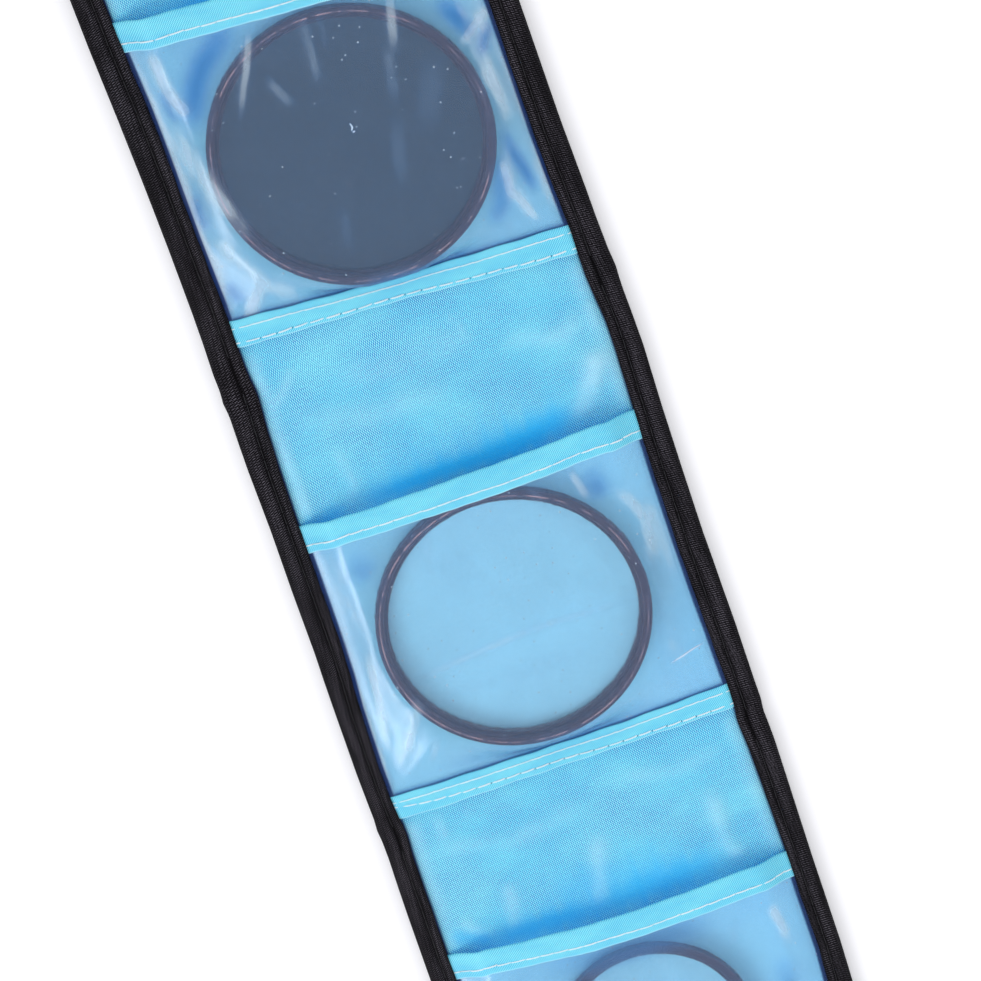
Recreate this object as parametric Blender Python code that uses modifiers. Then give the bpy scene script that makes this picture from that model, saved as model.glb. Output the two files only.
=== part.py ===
"""Folding lens filter case: four soft panels in one strip, a clear pocket on each, and a closing flap.

The strip lies open and flat on its back. +Y runs up the strip, the way the pockets open, and +Z is up.
Filters lie in the first three pockets, counted from the flap. The third is smaller than its pocket, and
the last pocket is empty.
"""

import math

import bmesh
import bpy
from mathutils import Matrix, Vector

MM = 0.001

# Screw-in filters: 77 mm nominal, which the pockets are sized for, and a small one of 58 mm
RIM_DIAMETER = 80 * MM
SMALL_RIM_DIAMETER = 61 * MM
THREAD_INSET = 1.65 * MM
RIM_WALL = 2.5 * MM
GLASS_SHOULDER = 0.8 * MM
GLASS_LIP = 1.4 * MM
GLASS_THICKNESS = 2 * MM
GLASS_PLAY = 0.15 * MM
LIP_HEIGHT = 0.9 * MM
THREAD_HEIGHT = 2.2 * MM
RETAINER_WIDTH = 1.2 * MM
RETAINER_HEIGHT = 0.6 * MM
FRONT_DEPTH = 1.6 * MM
RIM_CHAMFER = 0.3 * MM

# Lengths down each panel, from the fold above it to the fold below it
PLAIN_LENGTH = 43.8 * MM
MOUTH_TAPE_WIDTH = 8.6 * MM
FILTER_UNDER_MOUTH = 0.4 * MM
FILTER_TO_SEAM = 2.3 * MM
SMALL_FILTER_TO_MOUTH = 3.8 * MM
SEAM_TAPE_WIDTH = 8.4 * MM
SEAM_TO_FOLD = 6.2 * MM
SEAM_TO_END = 0.4 * MM

# Widths from the filter's side out to the strip's edge
SIDE_PLAY = 0.5 * MM
SLOPE_RUN = 9.7 * MM
FILM_TO_BINDING = 0.4 * MM
BINDING_COVER = 8.4 * MM

# Fabric, film and foam, from the floor up
BINDING_THICKNESS = 0.5 * MM
SHELL_THICKNESS = 0.4 * MM
PADDING_THICKNESS = 1.2 * MM
LINING_THICKNESS = 0.3 * MM
TAPE_THICKNESS = 0.3 * MM
FILM_THICKNESS = 0.3 * MM
LAYER_GAP = 0.15 * MM
FILM_SLOPE_GAP = 0.3 * MM

# How the pieces clear each other
BODY_GAP = 0.3 * MM
MOUTH_PLAY = 0.3 * MM
SEAM_PLAY = 0.2 * MM
FILM_UNDER_SEAM = 6.5 * MM
PADDING_TO_FOLD = 5 * MM
EDGE_INSET = 0.17 * MM

# Closing flap
CLOSING_EASE = 7 * MM
CLOSED_PLAY = 0.9 * MM
PATCH_WIDTH = 80 * MM
PATCH_LENGTH = 20 * MM
HOOK_TO_BINDING = 2.6 * MM
LOOP_TO_BINDING = 1.2 * MM

# How many pieces, and how finely the round ones are cut
POCKET_COUNT = 4
FILTER_COUNT = 3
SMALL_FILTER_POCKET = 3
ROUND_STEPS = 48
ARC_STEPS = 8
SLOPE_SHARES = (0.0, 0.25, 0.5, 0.75, 1.0)
BINDING_ARC_STEPS = 8

# Filter heights that follow from its glass
RETAINER_LOW = LIP_HEIGHT + GLASS_THICKNESS + 2 * GLASS_PLAY
RETAINER_TOP = RETAINER_LOW + RETAINER_HEIGHT
FILTER_HEIGHT = RETAINER_TOP + FRONT_DEPTH

# Heights that follow from the layers
SHELL_LOW = BINDING_THICKNESS + LAYER_GAP
PADDING_LOW = SHELL_LOW + SHELL_THICKNESS + LAYER_GAP
LINING_LOW = PADDING_LOW + PADDING_THICKNESS + LAYER_GAP
LINING_TOP = LINING_LOW + LINING_THICKNESS
INNER_TAPE_LOW = LINING_TOP + LAYER_GAP
FILM_TOP = INNER_TAPE_LOW + TAPE_THICKNESS + FILM_SLOPE_GAP + FILM_THICKNESS
OUTER_TAPE_LOW = FILM_TOP + LAYER_GAP
OUTER_TAPE_TOP = OUTER_TAPE_LOW + TAPE_THICKNESS
BINDING_TOP = OUTER_TAPE_TOP + LAYER_GAP + BINDING_THICKNESS
FILTER_LOW = LINING_TOP + LAYER_GAP
POCKET_RISE = FILTER_HEIGHT + MOUTH_PLAY - LAYER_GAP + FILTER_LOW - LINING_TOP
POCKET_TOP = OUTER_TAPE_TOP + POCKET_RISE

# Places across the strip
PLATEAU_HALF = RIM_DIAMETER / 2 + SIDE_PLAY
SLOPE_HALF = PLATEAU_HALF + SLOPE_RUN
BINDING_INNER = SLOPE_HALF + FILM_TO_BINDING
HALF_WIDTH = BINDING_INNER + BINDING_COVER
STRIP_WIDTH = 2 * HALF_WIDTH
EDGE_RADIUS = BINDING_TOP / 2
LAYER_HALF = HALF_WIDTH - EDGE_RADIUS - EDGE_INSET

# Fold axes: the strip closes like an accordion, pockets meeting at one fold and backs at the next
FACING_AXIS = POCKET_TOP + LAYER_GAP
BACKING_AXIS = -LAYER_GAP
FLAP_AXIS = BINDING_TOP + LAYER_GAP
BACKING_FOLDS = (POCKET_COUNT - 1) // 2
CLOSED_HEIGHT = POCKET_COUNT * FACING_AXIS - 2 * BACKING_FOLDS * BACKING_AXIS
SPINE_LENGTH = CLOSED_HEIGHT + CLOSED_PLAY - FLAP_AXIS - LAYER_GAP

# Places along the strip, with the origin under the middle of its whole length
WINDOW_LENGTH = FILTER_TO_SEAM + RIM_DIAMETER - FILTER_UNDER_MOUTH
PITCH = PLAIN_LENGTH + MOUTH_TAPE_WIDTH + WINDOW_LENGTH + SEAM_TAPE_WIDTH + SEAM_TO_FOLD
END_EXCESS = SEAM_TO_END + BINDING_COVER - SEAM_TO_FOLD
LOOP_CENTRE = BINDING_COVER + LOOP_TO_BINDING + PATCH_LENGTH / 2
HOOK_CENTRE = LOOP_CENTRE + CLOSING_EASE - END_EXCESS
TONGUE_LENGTH = HOOK_CENTRE + PATCH_LENGTH / 2 + HOOK_TO_BINDING + BINDING_COVER
STRIP_LENGTH = TONGUE_LENGTH + SPINE_LENGTH + CLOSING_EASE + POCKET_COUNT * PITCH + END_EXCESS
TIP_Y = STRIP_LENGTH / 2
TONGUE_FOLD_Y = TIP_Y - TONGUE_LENGTH
SPINE_FOLD_Y = TONGUE_FOLD_Y - SPINE_LENGTH
FIRST_TOP_Y = SPINE_FOLD_Y - CLOSING_EASE
END_Y = -STRIP_LENGTH / 2


def top_fold_y(pocket):
    """Where panel number `pocket` would begin if every panel had the same length."""
    return FIRST_TOP_Y - (pocket - 1) * PITCH


def seam_top_y(pocket):
    """Upper edge of the tape along the pocket's bottom seam."""
    return top_fold_y(pocket) - PLAIN_LENGTH - MOUTH_TAPE_WIDTH - WINDOW_LENGTH


def pocket_centre_y(pocket):
    """Middle of a full-size filter that stands on the pocket's bottom seam."""
    return seam_top_y(pocket) + FILTER_TO_SEAM + RIM_DIAMETER / 2


def filter_rim(pocket):
    return SMALL_RIM_DIAMETER if pocket == SMALL_FILTER_POCKET else RIM_DIAMETER


def filter_centre_y(pocket):
    """Middle of the pocket's own filter. The small one lies just inside the mouth."""
    if pocket == SMALL_FILTER_POCKET:
        return seam_top_y(pocket) + WINDOW_LENGTH - SMALL_FILTER_TO_MOUTH - SMALL_RIM_DIAMETER / 2
    return pocket_centre_y(pocket)


def smooth(share):
    """Rise from 0 to 1 with a level start and end."""
    return share * share * (3 - 2 * share)


def clear_scene():
    for obj in list(bpy.data.objects):
        bpy.data.objects.remove(obj)


def make_material(name, colour, roughness, metallic=0.0, alpha=1.0):
    material = bpy.data.materials.new(name)
    material.use_nodes = True
    shader = material.node_tree.nodes["Principled BSDF"]
    shader.inputs["Base Color"].default_value = (*colour, 1.0)
    shader.inputs["Roughness"].default_value = roughness
    shader.inputs["Metallic"].default_value = metallic
    shader.inputs["Alpha"].default_value = alpha
    return material


def make_materials():
    return {
        "shell": make_material("shell_fabric", (0.012, 0.012, 0.014), 0.75),
        "binding": make_material("binding_ribbon", (0.01, 0.01, 0.011), 0.65),
        "lining": make_material("lining_fabric", (0.10, 0.55, 0.95), 0.6),
        "tape": make_material("tape_fabric", (0.12, 0.65, 0.98), 0.55),
        "film": make_material("clear_film", (0.75, 0.88, 0.98), 0.25, alpha=0.35),
        "foam": make_material("foam", (0.8, 0.8, 0.78), 0.95),
        "ring": make_material("anodised_ring", (0.05, 0.03, 0.035), 0.35, metallic=0.9),
        "clear_glass": make_material("clear_glass", (0.85, 0.93, 0.97), 0.03, alpha=0.25),
        "dark_glass": make_material("dark_glass", (0.03, 0.04, 0.06), 0.03, alpha=0.9),
        "hook": make_material("hook_tape", (0.02, 0.02, 0.022), 0.8),
        "loop": make_material("loop_tape", (0.015, 0.015, 0.017), 0.95),
    }


def add_object(name, data, material, collection, body):
    """Link a new object and hang it on its body's empty, where it stands."""
    obj = bpy.data.objects.new(name, data)
    obj.data.materials.append(material)
    collection.objects.link(obj)
    obj.parent = body
    obj.matrix_parent_inverse = body.matrix_world.inverted()
    return obj


def add_body(name, place, collection, carrier=None):
    """An empty on the axis that the body turns about or slides along, hung on the body that carries it."""
    empty = bpy.data.objects.new(name, None)
    empty.location = place
    collection.objects.link(empty)
    if carrier:
        empty.parent = carrier
        empty.matrix_parent_inverse = carrier.matrix_world.inverted()
    bpy.context.view_layer.update()
    return empty


def box(low, high):
    """A box mesh between two corners."""
    low, high = Vector(low), Vector(high)
    mesh = bpy.data.meshes.new("box")
    shape = bmesh.new()
    place = Matrix.Translation((low + high) / 2) @ Matrix.Diagonal((*(high - low), 1))
    bmesh.ops.create_cube(shape, size=1, matrix=place)
    shape.to_mesh(mesh)
    shape.free()
    return mesh


def layer(y_low, y_high, z_low, thickness):
    """One flat layer of the strip, as wide as the side bindings hold."""
    return box((-LAYER_HALF, y_low, z_low), (LAYER_HALF, y_high, z_low + thickness))


def disc(radius, centre, z_low, height):
    mesh = bpy.data.meshes.new("disc")
    shape = bmesh.new()
    place = Matrix.Translation((*centre, z_low + height / 2))
    bmesh.ops.create_cone(
        shape, cap_ends=True, segments=ROUND_STEPS, radius1=radius, radius2=radius, depth=height,
        matrix=place,
    )
    shape.to_mesh(mesh)
    shape.free()
    return mesh


def turned_profile(points):
    """A closed profile in the XZ plane, for a Screw about Z. The points run down the outer side first."""
    mesh = bpy.data.meshes.new("profile")
    shape = bmesh.new()
    corners = [shape.verts.new((radius, 0, height)) for radius, height in points]
    for first, second in zip(corners, corners[1:] + corners[:1]):
        shape.edges.new((first, second))
    shape.to_mesh(mesh)
    shape.free()
    return mesh


def add_turned(name, points, place, material, collection, body):
    obj = add_object(name, turned_profile(points), material, collection, body)
    obj.location = place
    screw = obj.modifiers.new("Turn", "SCREW")
    screw.steps = ROUND_STEPS
    screw.render_steps = ROUND_STEPS
    screw.use_merge_vertices = True
    screw.merge_threshold = LAYER_GAP / 10
    screw.use_smooth_shade = True
    return obj


def loft(sections):
    """A solid through closed sections that have the same number of corners, with a face over each end."""
    mesh = bpy.data.meshes.new("loft")
    shape = bmesh.new()
    rings = [[shape.verts.new(point) for point in section] for section in sections]
    for first, second in zip(rings, rings[1:]):
        for i in range(len(first)):
            j = (i + 1) % len(first)
            shape.faces.new((first[i], first[j], second[j], second[i]))
    shape.faces.new(rings[0])
    shape.faces.new(rings[-1])
    bmesh.ops.recalc_face_normals(shape, faces=shape.faces)
    shape.to_mesh(mesh)
    shape.free()
    return mesh


def half_round(radius, angles):
    """Points of an arc about the middle of the strip's edge."""
    centre = HALF_WIDTH - EDGE_RADIUS
    return [(centre + radius * math.cos(a), EDGE_RADIUS + radius * math.sin(a)) for a in angles]


def binding_outline():
    """Section of a ribbon folded round the strip's edge: its outer side, then its inner side, edge at +X."""
    angles = [math.pi * (i / BINDING_ARC_STEPS - 1 / 2) for i in range(BINDING_ARC_STEPS + 1)]
    outer = half_round(EDGE_RADIUS, angles)
    inner = half_round(EDGE_RADIUS - BINDING_THICKNESS, reversed(angles))
    top_corners = [(BINDING_INNER, BINDING_TOP), (BINDING_INNER, BINDING_TOP - BINDING_THICKNESS)]
    return [(BINDING_INNER, 0), *outer, *top_corners, *inner, (BINDING_INNER, BINDING_THICKNESS)]


def add_binding(name, outline, length, place, turn, material, collection, body):
    """A folded ribbon: its flat outline raised to a length, stood on end and turned to run the right way."""
    curve = bpy.data.curves.new(name, "CURVE")
    curve.dimensions = "2D"
    curve.fill_mode = "BOTH"
    curve.extrude = length / 2
    spline = curve.splines.new("POLY")
    spline.points.add(len(outline) - 1)
    for point, (across, up) in zip(spline.points, outline):
        point.co = (across, up, 0, 1)
    spline.use_cyclic_u = True
    obj = add_object(name, curve, material, collection, body)
    stood_up = Matrix.Rotation(math.pi / 2, 4, "X")
    obj.matrix_basis = Matrix.Translation(place) @ Matrix.Rotation(turn, 4, "Z") @ stood_up
    return obj


def add_side_bindings(suffix, y_low, y_high, material, collection, body):
    middle = (y_low + y_high) / 2
    for side, turn in (("right", 0), ("left", math.pi)):
        add_binding(
            f"{side}_binding_{suffix}", binding_outline(), y_high - y_low, (0, middle, 0), turn,
            material, collection, body,
        )


def end_binding_outline():
    """The side ribbon's section, moved so that the strip's end, not its edge, sits in the fold."""
    return [(across - HALF_WIDTH, up) for across, up in binding_outline()]


def add_base(suffix, y_low, y_high, padding_ends, materials, collection, body):
    """The three flat layers that every panel and flap shares: outer shell, foam and lining."""
    pad_low, pad_high = padding_ends
    shell = layer(y_low, y_high, SHELL_LOW, SHELL_THICKNESS)
    padding = layer(pad_low, pad_high, PADDING_LOW, PADDING_THICKNESS)
    lining = layer(y_low, y_high, LINING_LOW, LINING_THICKNESS)
    add_object(f"outer_shell_{suffix}", shell, materials["shell"], collection, body)
    add_object(f"padding_{suffix}", padding, materials["foam"], collection, body)
    add_object(f"lining_{suffix}", lining, materials["lining"], collection, body)


def window_stations(mouth_y, centre_y, foot_y, flange_y):
    """Places round the pocket, each given on the plateau, at the foot of its slope and at the film's edge.

    The plateau is as wide as a filter, and round where the filter's lower half lies. The foot is square.
    """
    corner = math.atan2(centre_y - foot_y, SLOPE_HALF)
    half_turn = [corner * i / ARC_STEPS for i in range(ARC_STEPS + 1)]
    half_turn += [corner + (math.pi / 2 - corner) * (i + 1) / ARC_STEPS for i in range(ARC_STEPS)]
    right = [((PLATEAU_HALF, mouth_y), (SLOPE_HALF, mouth_y), (LAYER_HALF, mouth_y))]
    for angle in half_turn:
        across, down = math.cos(angle), math.sin(angle)
        plateau = (PLATEAU_HALF * across, centre_y - PLATEAU_HALF * down)
        if angle < corner:
            foot = (SLOPE_HALF, centre_y - SLOPE_HALF * down / across)
            edge = (LAYER_HALF, foot[1])
        elif angle == corner:
            foot = (SLOPE_HALF, foot_y)
            edge = (LAYER_HALF, flange_y)
        else:
            foot = ((centre_y - foot_y) * across / down, foot_y)
            edge = (foot[0], flange_y)
        right.append((plateau, foot, edge))
    left = [tuple((-x, y) for x, y in station) for station in reversed(right[:-1])]
    return right + left


def window_surface(mouth_y, centre_y, foot_y, flange_y):
    """The film's upper face: a plateau over the filter, slopes round it and a flange that is sewn down."""
    mesh = bpy.data.meshes.new("window")
    shape = bmesh.new()
    stations = window_stations(mouth_y, centre_y, foot_y, flange_y)
    rings = []
    for share in SLOPE_SHARES:
        height = FILM_TOP + POCKET_RISE * (1 - smooth(share))
        rings.append([
            shape.verts.new((*Vector(plateau).lerp(Vector(foot), share), height))
            for plateau, foot, edge in stations
        ])
    rings.append([shape.verts.new((*edge, FILM_TOP)) for plateau, foot, edge in stations])
    shape.faces.new(rings[0])
    for inner, outer in zip(rings, rings[1:]):
        for i in range(len(inner) - 1):
            shape.faces.new((inner[i], outer[i], outer[i + 1], inner[i + 1]))
    bmesh.ops.recalc_face_normals(shape, faces=shape.faces)
    if shape.faces[0].normal.z < 0:
        bmesh.ops.reverse_faces(shape, faces=shape.faces)
    shape.to_mesh(mesh)
    shape.free()
    return mesh


def add_window(pocket, materials, collection, body):
    """The clear film of one pocket, open at the mouth tape and sewn down along its other three sides."""
    seam_y = seam_top_y(pocket)
    mouth_y = seam_y + WINDOW_LENGTH + MOUTH_TAPE_WIDTH - TAPE_THICKNESS - LAYER_GAP
    surface = window_surface(mouth_y, pocket_centre_y(pocket), seam_y + SEAM_PLAY, seam_y - FILM_UNDER_SEAM)
    obj = add_object(f"window_{pocket}", surface, materials["film"], collection, body)
    wall = obj.modifiers.new("Wall", "SOLIDIFY")
    wall.thickness = FILM_THICKNESS
    wall.offset = -1
    wall.use_even_offset = True
    return obj


def arch_stations():
    """(place across the strip, rise) along the mouth, at the same places as the film's slopes."""
    run = SLOPE_HALF - PLATEAU_HALF
    right = [(PLATEAU_HALF + run * share, POCKET_RISE * (1 - smooth(share))) for share in SLOPE_SHARES]
    right.append((LAYER_HALF, 0))
    return [(-x, rise) for x, rise in reversed(right)] + right


def add_mouth_tape(pocket, materials, collection, body):
    """The tape folded over the film's free edge, arched so that a filter passes under it."""
    low = seam_top_y(pocket) + WINDOW_LENGTH
    high = low + MOUTH_TAPE_WIDTH
    fold = high - TAPE_THICKNESS
    inner_top = INNER_TAPE_LOW + TAPE_THICKNESS
    outline = [
        (low, INNER_TAPE_LOW), (high, INNER_TAPE_LOW), (high, OUTER_TAPE_TOP), (low, OUTER_TAPE_TOP),
        (low, OUTER_TAPE_LOW), (fold, OUTER_TAPE_LOW), (fold, inner_top), (low, inner_top),
    ]
    sections = [[(x, y, z + rise) for y, z in outline] for x, rise in arch_stations()]
    add_object(f"mouth_tape_{pocket}", loft(sections), materials["tape"], collection, body)


def add_seam_tape(pocket, materials, collection, body):
    high = seam_top_y(pocket)
    tape = layer(high - SEAM_TAPE_WIDTH, high, OUTER_TAPE_LOW, TAPE_THICKNESS)
    add_object(f"seam_tape_{pocket}", tape, materials["tape"], collection, body)


def add_panel(pocket, y_low, y_high, padding_ends, materials, collection, body):
    add_base(str(pocket), y_low, y_high, padding_ends, materials, collection, body)
    add_window(pocket, materials, collection, body)
    add_mouth_tape(pocket, materials, collection, body)
    add_seam_tape(pocket, materials, collection, body)


def add_filter(pocket, glass, materials, collection, body):
    """A screw-in filter: threaded ring, glass, and the ring that holds the glass down on its lip."""
    place = (0, filter_centre_y(pocket), FILTER_LOW)
    rim = filter_rim(pocket) / 2
    thread = rim - THREAD_INSET
    bore = rim - RIM_WALL
    glass_rim = bore - GLASS_SHOULDER
    seat = glass_rim + GLASS_PLAY
    lip = glass_rim - GLASS_LIP
    outside = [
        (rim - RIM_CHAMFER, FILTER_HEIGHT), (rim, FILTER_HEIGHT - RIM_CHAMFER),
        (rim, THREAD_HEIGHT + RIM_CHAMFER), (rim - RIM_CHAMFER, THREAD_HEIGHT),
        (thread, THREAD_HEIGHT), (thread, 0),
    ]
    inside = [
        (lip, 0), (lip, LIP_HEIGHT), (seat, LIP_HEIGHT), (seat, RETAINER_TOP),
        (bore, RETAINER_TOP), (bore, FILTER_HEIGHT),
    ]
    retainer_bore = glass_rim - RETAINER_WIDTH
    retainer = [
        (glass_rim, RETAINER_TOP), (glass_rim, RETAINER_LOW),
        (retainer_bore, RETAINER_LOW), (retainer_bore, RETAINER_TOP),
    ]
    add_turned(f"filter_ring_{pocket}", outside + inside, place, materials["ring"], collection, body)
    add_turned(f"glass_retainer_{pocket}", retainer, place, materials["ring"], collection, body)
    glass_low = FILTER_LOW + LIP_HEIGHT + GLASS_PLAY
    pane = disc(glass_rim, place[:2], glass_low, GLASS_THICKNESS)
    add_object(f"filter_glass_{pocket}", pane, materials[glass], collection, body)


def add_patches(materials, collection, tongue, last_panel):
    """Hook tape on the tongue's inner face, and loop tape where it lands on the last panel's back."""
    hook_y = TONGUE_FOLD_Y + HOOK_CENTRE
    loop_y = END_Y + LOOP_CENTRE
    hook = box(
        (-PATCH_WIDTH / 2, hook_y - PATCH_LENGTH / 2, LINING_TOP + LAYER_GAP),
        (PATCH_WIDTH / 2, hook_y + PATCH_LENGTH / 2, BINDING_TOP),
    )
    loop = box(
        (-PATCH_WIDTH / 2, loop_y - PATCH_LENGTH / 2, 0),
        (PATCH_WIDTH / 2, loop_y + PATCH_LENGTH / 2, SHELL_LOW - LAYER_GAP),
    )
    add_object("hook_patch", hook, materials["hook"], collection, tongue)
    add_object("loop_patch", loop, materials["loop"], collection, last_panel)


def add_flap(materials, collection, spine, tongue):
    """The part that wraps the folded case: a spine as tall as the stack, and a tongue that fastens."""
    half_gap = BODY_GAP / 2
    spine_ends = (SPINE_FOLD_Y + half_gap, TONGUE_FOLD_Y - half_gap)
    add_base(
        "spine", *spine_ends, (SPINE_FOLD_Y + PADDING_TO_FOLD, TONGUE_FOLD_Y - PADDING_TO_FOLD),
        materials, collection, spine,
    )
    add_side_bindings("spine", *spine_ends, materials["binding"], collection, spine)
    tongue_low = TONGUE_FOLD_Y + half_gap
    tip = TIP_Y - EDGE_RADIUS - EDGE_INSET
    padding_ends = (TONGUE_FOLD_Y + PADDING_TO_FOLD, tip)
    add_base("tongue", tongue_low, tip, padding_ends, materials, collection, tongue)
    binding_high = TIP_Y - BINDING_COVER - LAYER_GAP
    add_side_bindings("tongue", tongue_low, binding_high, materials["binding"], collection, tongue)
    add_binding(
        "tongue_end_binding", end_binding_outline(), STRIP_WIDTH, (0, TIP_Y, 0), math.pi / 2,
        materials["binding"], collection, tongue,
    )


def add_pocket_panels(materials, collection, bodies):
    half_gap = BODY_GAP / 2
    for pocket in range(1, POCKET_COUNT + 1):
        body = bodies[pocket]
        top_fold = SPINE_FOLD_Y if pocket == 1 else top_fold_y(pocket)
        high = top_fold - half_gap
        if pocket < POCKET_COUNT:
            low = binding_low = top_fold_y(pocket + 1) + half_gap
            pad_low = top_fold_y(pocket + 1) + PADDING_TO_FOLD
        else:
            low = pad_low = END_Y + EDGE_RADIUS + EDGE_INSET
            binding_low = END_Y + BINDING_COVER + LAYER_GAP
        add_panel(pocket, low, high, (pad_low, top_fold - PADDING_TO_FOLD), materials, collection, body)
        add_side_bindings(str(pocket), binding_low, high, materials["binding"], collection, body)
    add_binding(
        "strip_end_binding", end_binding_outline(), STRIP_WIDTH, (0, END_Y, 0), -math.pi / 2,
        materials["binding"], collection, bodies[POCKET_COUNT],
    )


def add_panel_bodies(collection):
    """One body for each panel. The first is the base, and each of the others turns on the fold above it."""
    bodies = {1: add_body("panel_1_base", (0, 0, 0), collection)}
    for pocket in range(2, POCKET_COUNT + 1):
        axis = FACING_AXIS if pocket % 2 == 0 else BACKING_AXIS
        place = (0, top_fold_y(pocket), axis)
        bodies[pocket] = add_body(f"panel_{pocket}_fold", place, collection, bodies[pocket - 1])
    return bodies


def add_filters(materials, collection, bodies):
    """A dark filter in the first pocket, and clear ones in the others that are filled."""
    for pocket in range(1, FILTER_COUNT + 1):
        place = (0, filter_centre_y(pocket), FILTER_LOW)
        slide = add_body(f"filter_{pocket}_slide", place, collection, bodies[pocket])
        glass = "dark_glass" if pocket == 1 else "clear_glass"
        add_filter(pocket, glass, materials, collection, slide)


def main():
    clear_scene()
    collection = bpy.data.collections.new("lens_filter_case")
    bpy.context.scene.collection.children.link(collection)
    materials = make_materials()
    bodies = add_panel_bodies(collection)
    spine = add_body("flap_spine_fold", (0, SPINE_FOLD_Y, FLAP_AXIS), collection, bodies[1])
    tongue = add_body("flap_tongue_fold", (0, TONGUE_FOLD_Y, FLAP_AXIS), collection, spine)
    add_pocket_panels(materials, collection, bodies)
    add_flap(materials, collection, spine, tongue)
    add_patches(materials, collection, tongue, bodies[POCKET_COUNT])
    add_filters(materials, collection, bodies)


main()
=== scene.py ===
"""Looks of a folding lens filter case: woven lining, frosted pockets, taped edges and the filters inside.

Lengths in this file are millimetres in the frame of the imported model, and meshes are made in metres.
Soft pieces are laid out flat and square first, then settled to the slightly skewed way the case lies.
"""
import math

import bmesh
import bpy
import numpy as np
from mathutils import Matrix, Vector


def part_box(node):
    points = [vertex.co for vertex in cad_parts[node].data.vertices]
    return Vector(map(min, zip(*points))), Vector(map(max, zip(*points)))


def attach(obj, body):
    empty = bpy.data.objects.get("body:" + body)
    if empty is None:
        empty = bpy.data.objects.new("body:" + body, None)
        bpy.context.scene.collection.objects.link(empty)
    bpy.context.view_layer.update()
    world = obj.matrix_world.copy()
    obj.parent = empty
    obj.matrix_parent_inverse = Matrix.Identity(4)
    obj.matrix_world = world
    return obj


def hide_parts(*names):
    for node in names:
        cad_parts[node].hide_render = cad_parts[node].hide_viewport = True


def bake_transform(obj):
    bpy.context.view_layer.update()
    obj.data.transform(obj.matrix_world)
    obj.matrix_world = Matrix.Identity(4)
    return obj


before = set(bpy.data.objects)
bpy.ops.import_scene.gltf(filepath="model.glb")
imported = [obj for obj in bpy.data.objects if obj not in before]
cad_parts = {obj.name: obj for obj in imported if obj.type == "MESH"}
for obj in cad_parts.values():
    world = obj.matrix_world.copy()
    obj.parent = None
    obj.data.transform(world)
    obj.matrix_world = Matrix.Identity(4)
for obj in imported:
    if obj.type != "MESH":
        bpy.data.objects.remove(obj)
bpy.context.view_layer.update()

MM = 0.001
SEED = 7


def node_span(node, axis):
    """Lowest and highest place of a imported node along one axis, in millimetres."""
    low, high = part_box(node)
    return low[axis] / MM, high[axis] / MM


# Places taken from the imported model
BINDING_INNER, HALF_WIDTH = node_span("right_binding_1", 0)
BINDING_COVER = HALF_WIDTH - BINDING_INNER
SHELL_LOW, SHELL_TOP = node_span("outer_shell_1", 2)
PADDING_LOW, PADDING_TOP = node_span("padding_1", 2)
LINING_TOP = node_span("lining_1", 2)[1]
FILM_LOW = node_span("window_1", 2)[0]
TAPE_LOW, TAPE_TOP = node_span("seam_tape_1", 2)
ARCH_TOP = node_span("mouth_tape_1", 2)[1]
FILTER_LOW, FILTER_TOP = node_span("filter_ring_1", 2)
ARCH_RISE = ARCH_TOP - TAPE_TOP
TIP_Y = node_span("tongue_end_binding", 1)[1]
END_Y = node_span("strip_end_binding", 1)[0]

POCKETS = (1, 2, 3, 4)
FILTERS = (1, 2, 3)
SLIDE = 50.0
# Radius of the largest filter a pocket takes, and its gap to the seam tape
FULL_RADIUS, FILTER_CLEARANCE = 40, 2.3
# Half widths: of the cloth and of the tapes, both ending inside the bindings, and of the pocket's mouth,
# whose film is level over the filter out to the plateau and reaches the lining at the foot of the slope
CLOTH_HALF, TAPE_HALF = 56, 54
PLATEAU_HALF, SLOPE_HALF = 40.5, 50.2
FILM_THICKNESS = 0.3
SEAM_TAPE_WIDTH, MOUTH_TAPE_WIDTH, END_BAND = 8.4, 8.6, 8.4
# The binding's stitched groove, in from its inner edge, and the pitch at which the tapes pucker
GROOVE_INSET = 3.1
STITCH_PITCH = 4.5
# Where a tape starts to drop under the side binding, and the width it takes
TUCK_START, TUCK_REACH = 49.4, 1.9
LAMP_COLOUR = (1, 1.005, 1.07)


def body_of(layer):
    """The body that carries a base layer: a panel by its number, else the spine or the tongue."""
    return f"panel_{layer}" if layer.isdigit() else layer


def fold_between(above, below):
    """Place of a fold along the strip, the body above it and the body below it."""
    middle = (node_span(f"lining_{above}", 1)[0] + node_span(f"lining_{below}", 1)[1]) / 2
    return middle, body_of(above), body_of(below)


FOLDS = {
    "tongue": fold_between("tongue", "spine"),
    "flap": fold_between("spine", "1"),
    "1_2": fold_between("1", "2"),
    "2_3": fold_between("2", "3"),
    "3_4": fold_between("3", "4"),
}
FOLD_REACH = 5.9


def seam_top(pocket):
    return node_span(f"seam_tape_{pocket}", 1)[1]


def mouth_low(pocket):
    return node_span(f"mouth_tape_{pocket}", 1)[0]


def mouth_high(pocket):
    return node_span(f"mouth_tape_{pocket}", 1)[1]


def pocket_centre(pocket):
    """Middle of the full-size filter that the pocket is cut for."""
    return seam_top(pocket) + FILTER_CLEARANCE + FULL_RADIUS


def under_tape(pocket):
    """Where two lengths of fabric meet, out of sight under a seam tape."""
    return seam_top(pocket) - SEAM_TAPE_WIDTH / 2


# Where the flap's length of fabric meets the next one, on the spine
SPINE_JOIN = 280.2
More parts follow.
